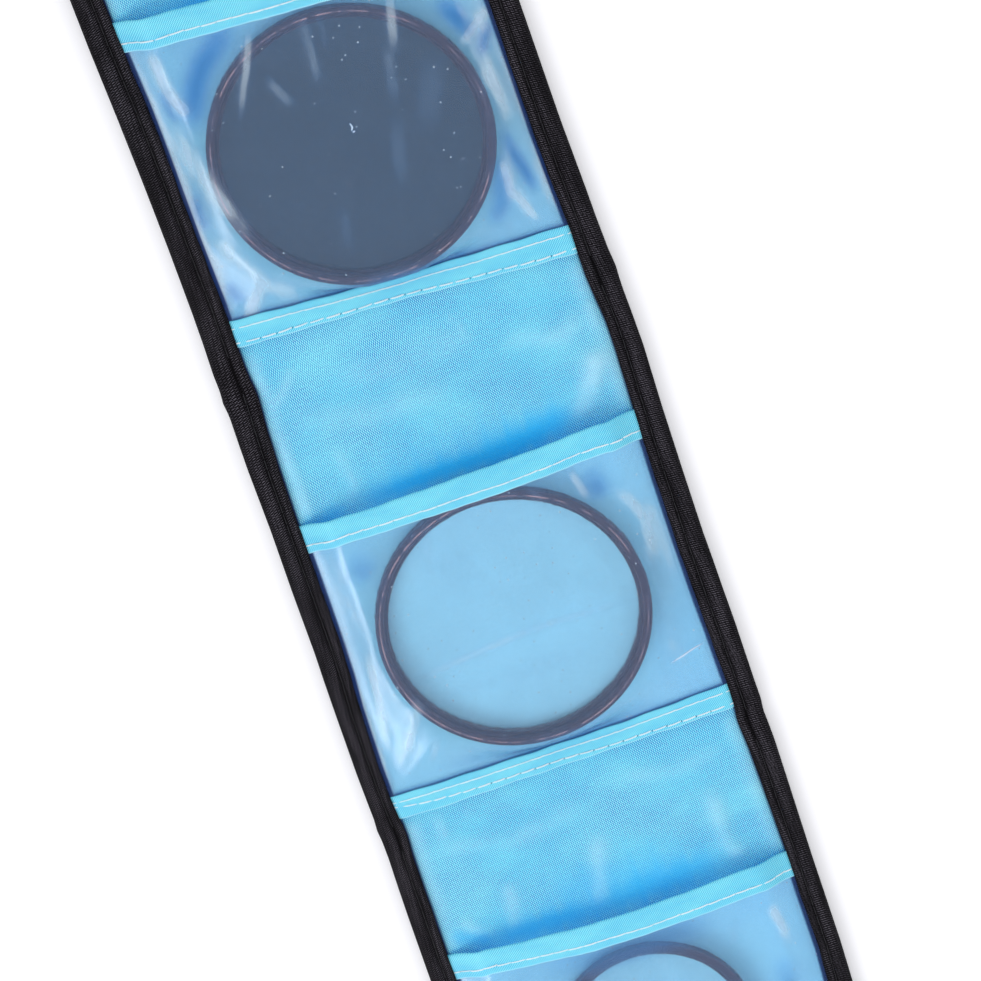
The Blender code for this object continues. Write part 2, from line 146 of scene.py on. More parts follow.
# Lengths of continuous fabric, each crossing one fold: name, upper end, lower end, fold, base layers
STRETCHES = (
    ("flap", TIP_Y, SPINE_JOIN, "tongue", ("tongue", "spine")),
    ("first", SPINE_JOIN, under_tape(1), "flap", ("spine", "1")),
    ("upper", under_tape(1), under_tape(2), "1_2", ("1", "2")),
    ("middle", under_tape(2), under_tape(3), "2_3", ("2", "3")),
    ("lower", under_tape(3), END_Y, "3_4", ("3", "4")),
)

# How the case lies: the fabric's edges across the strip at places along it (y, left outer, left inner,
# right inner, right outer), and how far each tape sits from its square place at stations across the strip
EDGES = np.array([
    (-230, -59.0, -50.6, 50.6, 59.0), (-160, -59.2, -51.2, 52.4, 60.2), (-120, -59.4, -51.6, 54.0, 60.9),
    (-100, -59.4, -51.8, 53.7, 60.7), (-90, -59.4, -51.9, 53.7, 60.6), (-70, -59.2, -51.6, 53.25, 60.6),
    (-60, -59.0, -51.6, 52.95, 60.6), (-50, -58.7, -51.35, 52.6, 60.6), (-44, -58.75, -50.95, 52.2, 60.35),
    (-40, -59.05, -51.1, 52.0, 60.1), (-36, -58.8, -51.6, 52.3, 60.45), (-30, -58.9, -51.85, 52.4, 60.3),
    (-20, -59.0, -51.85, 52.1, 60.2), (-10, -58.9, -51.6, 51.9, 60.1), (0, -58.8, -51.3, 51.5, 59.8),
    (10, -58.65, -50.5, 51.3, 59.6), (20, -58.4, -50.1, 51.1, 59.3), (40, -58.4, -49.9, 51.0, 59.2),
    (60, -58.15, -49.9, 51.2, 59.2), (80, -58.35, -49.5, 51.6, 59.5), (90, -58.2, -49.05, 51.5, 59.2),
    (97, -58.05, -48.5, 50.75, 58.9), (101, -58.45, -48.2, 50.45, 58.85), (105, -58.15, -48.6, 50.1, 58.95),
    (110, -58.3, -48.9, 50.0, 58.4), (120, -58.0, -48.9, 49.8, 57.9), (130, -57.9, -48.7, 49.3, 57.6),
    (150, -58.0, -49.2, 48.5, 56.8), (170, -58.35, -49.3, 48.3, 56.4), (190, -58.9, -49.65, 48.0, 56.0),
    (210, -59.6, -50.8, 48.1, 56.2), (225, -59.9, -51.2, 48.7, 56.9), (262, -59.3, -50.8, 50.2, 58.6),
    (310, -59.0, -50.6, 50.6, 59.0),
])
STATIONS = (-50, -40, -30, -10, 0, 10, 20, 30, 40, 50)
SHIFTS = (
    (-160, (0,) * 10),
    (mouth_low(3), (1.55, 2.85, 2.0, 0.3, 0.4, 0.7, 1.1, 1.7, 2.55, 1.25)),
    (mouth_high(3), (1.35, 2.35, 1.55, 0.4, 0.3, 0.6, 1.1, 1.85, 2.55, 1.15)),
    (-54, (0,) * 10),
    (seam_top(2) - SEAM_TAPE_WIDTH, (-0.95, -1.35, -1.0, -0.3, -0.05, 0.2, 0.5, 0.8, 1.1, 1.35)),
    (seam_top(2), (-1.75, -2.05, -1.9, -1.6, -1.45, -1.2, -0.95, -0.4, 0.2, 0.85)),
    (0, (-1.2, -1.0, -0.9, -0.6, -0.5, -0.4, -0.3, -0.1, 0.1, 0.3)),
    (mouth_low(2), (-2.85, -1.15, -1.1, -0.8, -0.7, -0.3, 0.1, 1.0, 1.35, -0.05)),
    (mouth_high(2), (-2.75, -1.75, -1.75, -1.0, -0.6, -0.2, 0.2, 0.95, 1.55, 0.35)),
    (90, (0,) * 10),
    (seam_top(1) - SEAM_TAPE_WIDTH, (3.95, 3.6, 3.4, 3.1, 2.85, 2.2, 1.5, 0.95, 0.5, 0.15)),
    (seam_top(1), (3.75, 3.2, 2.55, 1.55, 1.05, 1.15, 0.95, 0.75, 0.65, 0.55)),
    (160, (1.6, 1.4, 1.1, 0.6, 0.4, 0.4, 0.4, 0.3, 0.3, 0.2)),
    (mouth_high(1), (4.3, 4.2, 3.9, 3.0, 2.5, 2.2, 1.9, 1.6, 1.3, 1.0)),
    (258, (0,) * 10),
)


def smooth(share):
    share = np.clip(share, 0, 1)
    return share * share * (3 - 2 * share)


def settle(points):
    """Moves points from the square layout to where the photographed case has them."""
    x, y, z = np.asarray(points, float).T
    places = np.array([row[0] for row in SHIFTS])
    across = np.array([np.interp(x, STATIONS, row[1]) for row in SHIFTS])
    above = np.clip(np.searchsorted(places, y), 1, len(places) - 1)
    share = smooth((y - places[above - 1]) / (places[above] - places[above - 1]))
    index = np.arange(len(x))
    y = y + across[above - 1, index] * (1 - share) + across[above, index] * share
    outer_left, inner_left, inner_right, outer_right = (
        np.interp(y, EDGES[:, 0], EDGES[:, column]) for column in (1, 2, 3, 4)
    )
    inside = inner_left + (x + BINDING_INNER) / (2 * BINDING_INNER) * (inner_right - inner_left)
    cover = HALF_WIDTH - BINDING_INNER
    right = inner_right + (x - BINDING_INNER) / cover * (outer_right - inner_right)
    left = inner_left + (x + BINDING_INNER) / cover * (inner_left - outer_left)
    x = np.where(x > BINDING_INNER, right, np.where(x < -BINDING_INNER, left, inside))
    return np.column_stack([x, y, z])


def laid(x, y):
    """Where places on the flat cloth end up once the case lies as photographed."""
    points = settle(np.column_stack([x, y, np.zeros_like(x)]))
    return points[:, 0], points[:, 1]


class Signal:
    """One value or colour in a material, so that patterns are written as plain sums and products."""

    def __init__(self, recipe, socket):
        self.recipe = recipe
        self.socket = socket

    def maths(self, operation, *values):
        return self.recipe.node("ShaderNodeMath", {"operation": operation}, dict(enumerate(values)))

    def __add__(self, other):
        return self.maths("ADD", self, other)

    def __sub__(self, other):
        return self.maths("SUBTRACT", self, other)

    def __rsub__(self, other):
        return self.maths("SUBTRACT", other, self)

    def __mul__(self, other):
        return self.maths("MULTIPLY", self, other)

    def __truediv__(self, other):
        return self.maths("DIVIDE", self, other)

    __radd__ = __add__
    __rmul__ = __mul__

    def sine(self):
        return self.maths("SINE", self)

    def size(self):
        return self.maths("ABSOLUTE", self)

    def between(self, low, high):
        """0 below low, 1 above high, eased in between."""
        settings = {"interpolation_type": "SMOOTHSTEP"}
        sockets = {"Value": self, "From Min": low, "From Max": high}
        return self.recipe.node("ShaderNodeMapRange", settings, sockets)


class Recipe:
    """The node tree of one material."""

    def __init__(self, name):
        self.material = bpy.data.materials.new(name)
        self.material.use_nodes = True
        self.tree = self.material.node_tree
        self.tree.nodes.clear()

    def node(self, kind, settings=None, sockets=None, output=0):
        """Adds a node: its settings first, then a value or a link for each socket."""
        node = self.tree.nodes.new(kind)
        for name, value in (settings or {}).items():
            setattr(node, name, value)
        for name, value in (sockets or {}).items():
            if isinstance(value, Signal):
                self.tree.links.new(value.socket, node.inputs[name])
            elif node.inputs[name].type == "RGBA" and len(value) == 3:
                node.inputs[name].default_value = (*value, 1)
            else:
                node.inputs[name].default_value = value
        return Signal(self, node.outputs[output])

    def places(self, source="cloth"):
        """Metres on the cloth's own layout, or in the model's frame."""
        if source == "frame":
            return self.node("ShaderNodeTexCoord", output=3)
        return self.node("ShaderNodeUVMap", {"uv_map": source})

    def axes(self, vector):
        split = self.node("ShaderNodeSeparateXYZ", sockets={0: vector}).socket.node
        return tuple(Signal(self, split.outputs[i]) for i in range(3))

    def stretched(self, vector, scale, turn=0.0):
        """Coordinates in units of 1/scale, turned in the plane by radians."""
        sockets = {"Vector": vector, "Scale": scale, "Rotation": (0, 0, turn)}
        return self.node("ShaderNodeMapping", sockets=sockets)

    def noise(self, vector, scale, detail=2.0, roughness=0.5, distortion=0.0):
        """Cloudy tones at one scale, or at a scale for each axis."""
        if isinstance(scale, tuple):
            vector = self.stretched(vector, scale)
            scale = 1.0
        return self.node("ShaderNodeTexNoise", sockets={
            "Vector": vector, "Scale": scale, "Detail": detail, "Roughness": roughness,
            "Distortion": distortion,
        })

    def cells(self, vector, scale):
        """Distance to the nearest of many scattered points."""
        return self.node("ShaderNodeTexVoronoi", sockets={"Vector": vector, "Scale": scale})

    def mark(self, name):
        """A value painted on the mesh's points."""
        return self.node("ShaderNodeAttribute", {"attribute_name": name}, output=2)

    def vectors(self, operation, a, b, output=0, second=1):
        return self.node("ShaderNodeVectorMath", {"operation": operation}, {0: a, second: b}, output)

    def flattened(self, vector):
        """Millimetres on the plane that the strip lies on."""
        return self.vectors("MULTIPLY", vector, (1000, 1000, 0))

    def stroke(self, vector, start, end, width):
        """1 on a fine line between two places given in millimetres, fading to 0 across its width."""
        span = (end[0] - start[0], end[1] - start[1], 0)
        away = self.vectors("SUBTRACT", self.flattened(vector), (*start, 0))
        along = self.vectors("DOT_PRODUCT", away, span, 1) / math.hypot(*span) ** 2
        held = self.node("ShaderNodeClamp", sockets={"Value": along})
        gap = self.vectors("DISTANCE", away, self.vectors("SCALE", span, held, second="Scale"), 1)
        taper = (held - 0.5).size().between(0.1, 0.5)
        return (1 - gap.between(width * 0.25, width)) * (1 - taper)

    def blend(self, colour_a, colour_b, share):
        sockets = {0: share, 6: colour_a, 7: colour_b}
        return self.node("ShaderNodeMix", {"data_type": "RGBA"}, sockets, output=2)

    def layers(self, colour, *coats):
        """A colour with coats laid over it in turn, each with the share of it that covers."""
        for coat, share in coats:
            colour = self.blend(colour, coat, share)
        return colour

    def bump(self, height, distance, strength=1.0, under=None):
        sockets = {"Height": height, "Distance": distance, "Strength": strength}
        if under is not None:
            sockets["Normal"] = under
        return self.node("ShaderNodeBump", sockets=sockets)

    def surface(self, **values):
        sockets = {name.replace("_", " "): value for name, value in values.items()}
        return self.node("ShaderNodeBsdfPrincipled", sockets=sockets)

    def mixed(self, shader_a, shader_b, share):
        return self.node("ShaderNodeMixShader", sockets={0: share, 1: shader_a, 2: shader_b})

    def through_to_lamps(self, shader, colour=(1, 1, 1), share=1.0):
        """Lets lamp light seep through in shadows, tinted, as thin clear sheets and loose weaves do."""
        shadow = self.node("ShaderNodeLightPath", output=1)
        clear = self.node("ShaderNodeBsdfTransparent", sockets={"Color": colour})
        return self.mixed(shader, clear, shadow * share)

    def done(self, shader):
        output = self.tree.nodes.new("ShaderNodeOutputMaterial")
        self.tree.links.new(shader.socket, output.inputs["Surface"])
        return self.material


def woven(recipe, vector, across, along, slope=0.0):
    """Bright crossings of a plain weave in staggered rows, from -1 between threads to 1 on a crossing."""
    x, y, _ = recipe.axes(vector)
    column = (x * (math.pi / (across / 2 * MM))).sine()
    row = ((y - x * slope) * (math.pi / (along * MM))).sine()
    return column * row


def lining_nylon():
    """Sky blue packcloth: bright crossings, dark gaps and broad tone patches, with painted light and shade on
    it: painted highlights on its folds and a lighter painted strip beside the bindings, painted shade above
    the tapes, deeper blue where film lies on it (partly painted shade), a painted shadow line along the
    bindings, and a lighter tone under the pockets' film as painted light that makes up for what the film
    holds back.
    """
    r = Recipe("lining_nylon")
    cloth = r.places()
    drift = r.noise(cloth, (60, 60, 60), 3.0)
    weave = woven(r, cloth, 0.66, 0.5, 0.07)
    thread = r.noise(cloth, (300, 2600, 1), 1.0)
    fleck = r.noise(cloth, (1500, 1700, 1), 0.0)
    patch = r.noise(cloth, (26, 38, 1), 3.0, 0.55, 0.6)
    strong = r.noise(cloth, (48, 70, 1), 2.0).between(0.25, 0.7) * 0.3 + 0.7
    gap = (weave * -1 + fleck * 0.7 + thread * 0.3).between(-0.05, 0.95)
    base = r.layers(
        r.blend((0.18, 0.85, 1.0), (0.28, 0.95, 1.0), patch.between(0.3, 0.7)),
        ((0.003, 0.22, 0.60), gap * strong),
        ((0.60, 1.0, 1.0), (weave + fleck * 0.8).between(0.5, 1.4) * strong * 0.75),
        # Painted highlight: lighter on the lining's folds, and a lighter painted strip beside the bindings
        # where their shade falls
        ((0.52, 0.88, 1.0), r.mark("pale") * (0.4 + 0.6 * drift.between(0.3, 0.7)) * 0.6),
        # Painted shade: deeper blue on the lining above each tape
        ((0.020, 0.55, 1.0), r.mark("deep") * (0.8 + 0.22 * weave + 0.2 * fleck)),
        # Painted light: the lining under the pockets' film is made lighter to make up for the light the film
        # holds back; beside the filters it is set to a darker, greyer blue
        ((0.33, 0.79, 1.0), r.mark("pocket") * 0.88),
        ((0.27, 0.68, 0.84), r.mark("beside")),
        # Deeper blue where film lies on the lining, partly painted shade where the film shades it
        ((0.01, 0.30, 0.72), r.mark("under") * 0.7),
        # Painted shade: a dark shadow line on the lining along the bindings
        ((0.001, 0.012, 0.09), r.mark("rim")),
    )
    height = weave * 0.5 + thread * 0.35 + fleck * 0.3
    normal = r.bump(height, 0.00016, 0.55, r.bump(patch + drift * 0.4 + r.mark("pale") * 0.5, 0.0018, 0.4))
    rough = 0.5 + 0.16 * fleck - 0.08 * weave
    return r.done(r.surface(
        Base_Color=base, Roughness=rough, Normal=normal, Sheen_Weight=0.12, Sheen_Roughness=0.4,
        Sheen_Tint=(0.75, 0.93, 1.0), Specular_IOR_Level=0.3,
    ))


def tape_nylon():
    """Bias tape of a finer, brighter weave, a little worn along its cut edge, with painted shade on the under
    ply of the mouth tapes.
    """
    r = Recipe("tape_nylon")
    cloth = r.places()
    _, across, _ = r.axes(r.places("strip"))
    weave = woven(r, cloth, 0.56, 0.42, 0.35)
    fleck = r.noise(cloth, (900, 2300, 1), 1.0)
    patch = r.noise(cloth, (55, 130, 1), 3.0, 0.6)
    base = r.layers(
        r.blend((0.11, 0.68, 0.90), (0.20, 0.85, 0.96), patch.between(0.28, 0.72)),
        ((0.008, 0.25, 0.56), (weave * -1 + fleck * 0.5).between(0.0, 1.15) * 0.75),
        ((0.55, 0.99, 1.0), (weave + fleck * 0.8).between(0.5, 1.4) * 0.72),
        ((0.56, 0.88, 0.97), (0.06 - across).between(0.0, 0.05) * 0.5),
        # Painted shade: deeper blue on the under ply of the mouth tapes
        ((0.03, 0.40, 0.78), r.mark("deep") * 0.8),
    )
    height = weave * 0.4 + fleck * 0.5
    normal = r.bump(height, 0.00011, 0.5, r.bump(patch, 0.0009, 0.4))
    cloth_shader = r.surface(
        Base_Color=base, Roughness=0.44 + 0.2 * fleck, Normal=normal, Sheen_Weight=0.1, Sheen_Roughness=0.35,
        Sheen_Tint=(0.8, 0.95, 1.0), Specular_IOR_Level=0.35,
    )
    return r.done(r.through_to_lamps(cloth_shader, (0.25, 0.8, 1.0), 0.75))


def sewing_thread(name, colour, deep):
    """Twisted polyester thread with a slow change of tone along the seam."""
    r = Recipe(name)
    place = r.places("frame")
    x, y, z = r.axes(place)
    twist = ((x * 0.8 + y * 1.3 + z * 1.1) * 14000).sine()
    tone = r.noise(place, 130.0, 2.0)
    base = r.blend(deep, colour, (tone * 0.7 + twist * 0.16 + 0.2).between(0.2, 0.7))
    return r.done(r.surface(
        Base_Color=base, Roughness=0.5 + 0.2 * tone, Normal=r.bump(twist, 0.00006, 0.6),
        Specular_IOR_Level=0.35, Sheen_Weight=0.1,
    ))


def needle_hole():
    """The dark inside of a needle hole in blue tape."""
    r = Recipe("needle_hole")
    tone = r.noise(r.places("frame"), 800.0, 1.0)
    return r.done(r.surface(
        Base_Color=r.blend((0.004, 0.03, 0.09), (0.02, 0.12, 0.28), tone),
        Roughness=0.9, Specular_IOR_Level=0.05,
    ))


def binding_ribbon():
    """Black ribbed ribbon: rows of small bright floats, with a painted sheen that is stronger on its crests,
    and painted shade in its fold.
    """
    r = Recipe("binding_ribbon")
    cloth = r.places()
    twill = woven(r, cloth, 0.76, 0.34, 0.3)
    rib = (r.axes(cloth)[1] * (2 * math.pi / 0.00072)).sine()
    fleck = r.noise(cloth, (1400, 1900, 1), 1.0)
    wear = r.noise(cloth, (240, 46, 1), 3.0, 0.6)
    shine = (twill + rib * 0.35 + fleck * 1.2 - 0.6).between(0.1, 0.95) * (0.5 + 0.9 * wear.between(0.3, 0.7))
    base = r.layers(
        r.blend((0.0010, 0.0009, 0.0014), (0.0035, 0.0032, 0.0044), wear.between(0.35, 0.75)),
        # Painted sheen: the bright floats show more on the ribbon's crests
        ((0.14, 0.13, 0.15), shine * (0.25 + 0.75 * r.mark("crest"))),
        # Painted shade in the groove and on the ribbon's inside
        ((0.0006, 0.0005, 0.0008), r.mark("groove")),
    )
    normal = r.bump(twill * 0.5 + rib * 0.35 + fleck * 0.3, 0.0002, 0.8, r.bump(wear, 0.0008, 0.4))
    ribbon = r.surface(
        Base_Color=base, Roughness=0.74 + 0.2 * fleck, Normal=normal, Specular_IOR_Level=0.06,
        Sheen_Weight=0.01, Sheen_Roughness=0.5,
    )
    return r.done(r.through_to_lamps(ribbon, share=0.6))


def shell_nylon():
    """Black pack nylon of the back, coarser than the ribbon, with rubbed high spots."""
    r = Recipe("shell_nylon")
    cloth = r.places()
    weave = woven(r, cloth, 0.9, 0.6)
    fleck = r.noise(cloth, (900, 1100, 1), 1.0)
    wear = r.noise(cloth, (30, 24, 1), 4.0, 0.6, 0.4)
    base = r.blend((0.006, 0.006, 0.008), (0.018, 0.018, 0.023), wear.between(0.35, 0.7))
    base = r.blend(base, (0.05, 0.05, 0.06), (weave * 0.5 + 0.5) * fleck.between(0.4, 0.7) * 0.6)
    normal = r.bump(weave * 0.5 + fleck * 0.3, 0.0002, 0.6, r.bump(wear, 0.0015, 0.4))
    return r.done(r.surface(
        Base_Color=base, Roughness=0.55 + 0.25 * wear, Normal=normal, Specular_IOR_Level=0.25,
        Sheen_Weight=0.05, Sheen_Roughness=0.5,
    ))


def foam_sheet():
    """Pale grey cell foam."""
    r = Recipe("foam_sheet")
    place = r.places("frame")
    cells = r.cells(place, 1400.0)
    tone = r.noise(place, 60.0, 2.0)
    base = r.blend((0.30, 0.31, 0.33), (0.46, 0.47, 0.49), cells.between(0.1, 0.7) * (0.6 + 0.4 * tone))
    return r.done(r.surface(Base_Color=base, Roughness=0.92 + 0.05 * tone, Normal=r.bump(cells, 0.0003, 0.7)))


# Painted highlights: tight bright lines of lamp light on the film over the first filter and beside it: ends,
# half width and strength
GLINT_STREAKS = (
    ((-15.2, 205), (-22.6, 187), 1.5, 0.14), ((-19, 196), (-27, 178.5), 1.3, 0.10),
    ((-16.4, 189.6), (-10.6, 177.6), 2.0, 0.07), ((-0.8, 204), (-3.0, 180), 1.8, 0.05),
    ((3.6, 204), (2.2, 190), 1.4, 0.04), ((24.2, 205), (19.4, 184), 1.9, 0.15),
    ((18.5, 188), (14.9, 169), 2.4, 0.06), ((15.2, 171), (8.8, 145), 3.0, 0.045),
    ((31, 184), (20, 158), 5.0, 0.04), ((-8, 150), (-9.5, 132), 2.4, 0.035),
    ((-43.2, 206), (-42.8, 192), 1.8, 0.18), ((-43, 194.5), (-39.4, 185), 1.9, 0.20),
    ((37.8, 147), (38.1, 135), 1.3, 0.15), ((38, 137.5), (42.8, 124), 1.3, 0.22),
    ((41.5, 173), (43.9, 158), 2.0, 0.13), ((37, 181), (47.4, 187.4), 1.5, 0.16),
    ((-36, 133.6), (-43.6, 123.4), 1.7, 0.14), ((-41.5, 169), (-36.4, 153), 2.0, 0.12),
    ((28.3, 55), (31.8, 41), 1.8, 0.12), ((-43, 20), (-47, -12), 1.6, 0.10),
    ((-36, -6), (-43.5, -20), 1.7, 0.10), ((-31, -12), (-38, -25), 1.8, 0.07),
    ((40, 44), (46, 28), 2.0, 0.08), ((-46, -98), (-43, -114), 1.8, 0.12),
    ((44.6, -97), (46, -112), 1.7, 0.10),
)


# Short hairs lying on the film over the first filter
HAIRS = (((1.5, 169.8), (2.2, 167.6)), ((2.2, 168.6), (1.3, 166.9)), ((1.4, 166.6), (2.6, 167.0)))


def frosted_film():
    """Frosted vinyl that blurs what lies below and carries lint and scratches, with painted light and shade:
    a whiter haze along its folds, partly the vinyl's whitening and partly a painted sheen; painted highlights
    as bright lines and a thin line where it bends over a filter's rim; painted shade, deeper blue, where it
    lies near the lining and shades itself; and a dark painted shadow line along its sewn edges.
    """
    r = Recipe("frosted_film")
    cloth = r.places()
    place = r.places("frame")
    cloud = r.noise(cloth, (38, 26, 1), 4.0, 0.55, 0.5)
    wisp = r.noise(r.stretched(cloth, (150, 46, 1), 0.25), 1.0, 3.0, 0.55, 1.2)
    grain = r.noise(cloth, (2400, 2400, 1), 1.0)
    mottle = r.noise(place, 1300.0, 2.0).between(0.3, 0.7)
    lint = (1 - r.cells(place, 250.0).between(0.05, 0.1)) * r.noise(place, 900.0).between(0.36, 0.52)
    scratch = r.stroke(place, (37.6, -14.9), (50.8, -12.9), 0.42)
    for start, end in HAIRS:
        scratch = scratch + 0.9 * r.stroke(place, start, end, 0.32)
    # Painted highlights: bright lines of lamp light on the film
    glint = 0.0
    for start, end, width, strength in GLINT_STREAKS:
        glint = glint + strength * r.stroke(place, start, end, width)
    # Painted sheen of lamp light along the film's folds, with the vinyl's whitening there
    veil = r.mark("whitening_and_sheen")
    white = veil * (0.55 + 0.9 * wisp.between(0.3, 0.7))
    # The film's haze, to which painted highlights and painted shade are added
    haze_and_painted_light = 0.085 + 0.05 * cloud.between(0.35, 0.75) * (1 - r.mark("taut")) + 0.02 * r.mark("far")
    haze_and_painted_light = haze_and_painted_light + 0.45 * white + 0.35 * lint + 0.75 * scratch + glint * (0.5 + wisp)
    # Painted shade: more haze where the film lies near the lining and shades itself, and along its sewn edges
    haze_and_painted_light = haze_and_painted_light + 0.36 * r.mark("close") + 0.6 * r.mark("edge") + 0.024 * (mottle - 0.5)
    rough = 0.205 + 0.05 * cloud - 0.05 * r.mark("far")
    # Whiter tint where lint and scratches lie and where the painted highlights are
    lint_and_sheen = (white * 2.0 + glint * 4 + lint + scratch).between(0.0, 0.8)
    tint = r.blend((0.13, 0.35, 0.70), (0.56, 0.72, 0.86), lint_and_sheen)
    # Painted highlight: a thin pinkish line on the film where it bends over each of the first two filters'
    # rims
    touched_radius = 38.75
    for pocket in POCKETS[:2]:
        reach = r.vectors("DISTANCE", r.flattened(place), (0, pocket_centre(pocket), 0), 1)
        off_line = (reach - touched_radius).size().between(0.05, 0.38)
        rim_highlight = (1 - off_line) * wisp.between(0.38, 0.62)
        haze_and_painted_light = haze_and_painted_light + rim_highlight * 0.13
        tint = r.blend(tint, (0.80, 0.62, 0.74), rim_highlight)
    # Painted shade colours: deeper blue where the film lies near the lining and shades itself, and a dark
    # navy shadow line along its sewn edges
    tint = r.layers(
        tint, ((0.035, 0.235, 0.56), r.mark("close") * 0.9), ((0.004, 0.03, 0.14), r.mark("edge")),
    )
    normal = r.bump(grain, 0.00002, 0.35, r.bump(cloud + wisp * 0.4, 0.0011, 0.4))
    clear = r.surface(
        Base_Color=(0.985, 0.99, 0.99), Roughness=rough, Normal=normal, IOR=1.42, Transmission_Weight=1.0,
        Specular_IOR_Level=0.2,
    )
    haze_and_painted_light_coat = r.surface(Base_Color=tint, Roughness=0.5, Normal=normal, Specular_IOR_Level=0.2)
    return r.done(r.through_to_lamps(r.mixed(clear, haze_and_painted_light_coat, haze_and_painted_light), (0.99, 0.995, 1.0)))


def filter_glass(name, tint, coat):
    """Polished optical glass with a faint coating colour and a trace of dust."""
    r = Recipe(name)
    place = r.places("frame")
    dust = r.noise(place, 700.0, 2.0)
    haze = r.noise(place, 40.0, 3.0)
    duller = tuple(value * 0.94 for value in tint)
    glass = r.surface(
        Base_Color=r.blend(tint, duller, haze.between(0.3, 0.7)), Roughness=0.015, IOR=1.5,
        Transmission_Weight=1.0, Specular_Tint=coat, Normal=r.bump(haze, 0.00001, 0.2),
        Specular_IOR_Level=0.25,
    )
    motes = r.surface(Base_Color=(0.5, 0.53, 0.58), Roughness=0.8)
    glass = r.mixed(glass, motes, dust.between(0.72, 0.8) * 0.25)
    return r.done(r.through_to_lamps(glass, tint))


def anodised_ring():
    """Black anodised aluminium with turning marks and bare metal at worn corners."""
    r = Recipe("anodised_ring")
    place = r.places("frame")
    turned = r.noise(place, (30, 30, 9000), 2.0)
    cloud = r.noise(place, 90.0, 3.0)
    wear = r.noise(place, 900.0, 3.0, 0.65)
    base = r.blend((0.024, 0.006, 0.010), (0.044, 0.013, 0.020), cloud)
    worn = r.mark("corner") * wear.between(0.42, 0.66)
    base = r.blend(base, (0.15, 0.115, 0.145), worn * 0.6)
    metal = r.surface(
        Base_Color=base, Metallic=0.1 + 0.4 * worn, Roughness=0.36 + 0.12 * cloud - 0.1 * worn,
        Normal=r.bump(turned, 0.00003, 0.3), Specular_IOR_Level=0.25,
    )
    return r.done(r.through_to_lamps(metal, share=0.6))


def patch_plastic(name, low, high):
    """Nylon of hook and loop tape, lighter where single strands catch the light."""
    r = Recipe(name)
    place = r.places("frame")
    strand = r.noise(place, 2600.0, 1.0)
    drift = r.noise(place, 120.0, 2.0)
    base = r.blend(low, high, (strand * 0.7 + drift * 0.3).between(0.35, 0.7))
    return r.done(r.surface(
        Base_Color=base, Roughness=0.5 + 0.3 * drift, Normal=r.bump(strand, 0.0001, 0.5),
        Specular_IOR_Level=0.25,
    ))


def pale_floor():
    r = Recipe("pale_floor")
    grain = r.noise(r.places("frame"), 25.0, 3.0)
    base = r.blend((0.925, 0.925, 0.925), (0.94, 0.94, 0.94), grain)
    return r.done(r.surface(
        Base_Color=base, Roughness=0.75 + 0.1 * grain, Specular_IOR_Level=0.1, Emission_Color=(1, 0.99, 0.94),
        Emission_Strength=0.18,
    ))


def make_mesh(name, points, faces, material, flat=None, marks=None, strip=None, sharp=40):
    """A mesh object from points in millimetres, with cloth coordinates in metres from its flat layout."""
    mesh = bpy.data.meshes.new(name)
    mesh.from_pydata((np.asarray(points) * MM).tolist(), [], [tuple(map(int, face)) for face in faces])
    corners = np.zeros(len(mesh.loops), int)
    mesh.loops.foreach_get("vertex_index", corners)
    for layer, layout, scale in (("cloth", flat, MM), ("strip", strip, 1)):
        if layout is not None:
            uv = mesh.uv_layers.new(name=layer)
            spots = np.asarray(layout, float)[corners, :2] * scale
            uv.data.foreach_set("uv", spots.astype(np.float32).ravel())
    for mark, values in (marks or {}).items():
        attribute = mesh.attributes.new(mark, "FLOAT", "POINT")
        attribute.data.foreach_set("value", np.asarray(values, np.float32))
    mesh.materials.append(material)
    soften(mesh, sharp)
    mesh.validate()
    mesh.update()
    return linked(bpy.data.objects.new(name, mesh))


def soften(mesh, sharp):
    """Smooth shading, with edges sharper than an angle in degrees kept crisp."""
    mesh.polygons.foreach_set("use_smooth", [True] * len(mesh.polygons))
    mesh.set_sharp_from_angle(angle=math.radians(sharp))


def linked(obj):
    bpy.context.scene.collection.objects.link(obj)
    return obj


def cloth_slab(name, across, along, top, thickness, material, marks=None, settled=True):
    """A closed sheet over a grid: top(x, y) is its upper face, and its thickness may vary."""
    x, y = (grid.ravel() for grid in np.meshgrid(across, along))
    high = top(x, y)
    low = high - (thickness(x, y) if callable(thickness) else thickness)
    points = np.concatenate([np.column_stack([x, y, high]), np.column_stack([x, y, low])])
    columns, rows = len(across), len(along)
    size = columns * rows
    index = np.arange(size).reshape(rows, columns)
    quads = np.stack([index[:-1, :-1], index[:-1, 1:], index[1:, 1:], index[1:, :-1]], -1).reshape(-1, 4)
    rim = np.concatenate([index[0, :], index[1:, -1], index[-1, -2::-1], index[-2:0:-1, 0]])
    after = np.roll(rim, -1)
    sides = np.column_stack([after, rim, rim + size, after + size])
    faces = np.concatenate([quads, quads[:, ::-1] + size, sides])
    values = {mark: np.tile(shade(x, y), 2) for mark, shade in (marks or {}).items()}
    flat = points[:, :2].copy()
    placed = settle(points) if settled else points
    return make_mesh(name, placed, faces, material, flat, values)


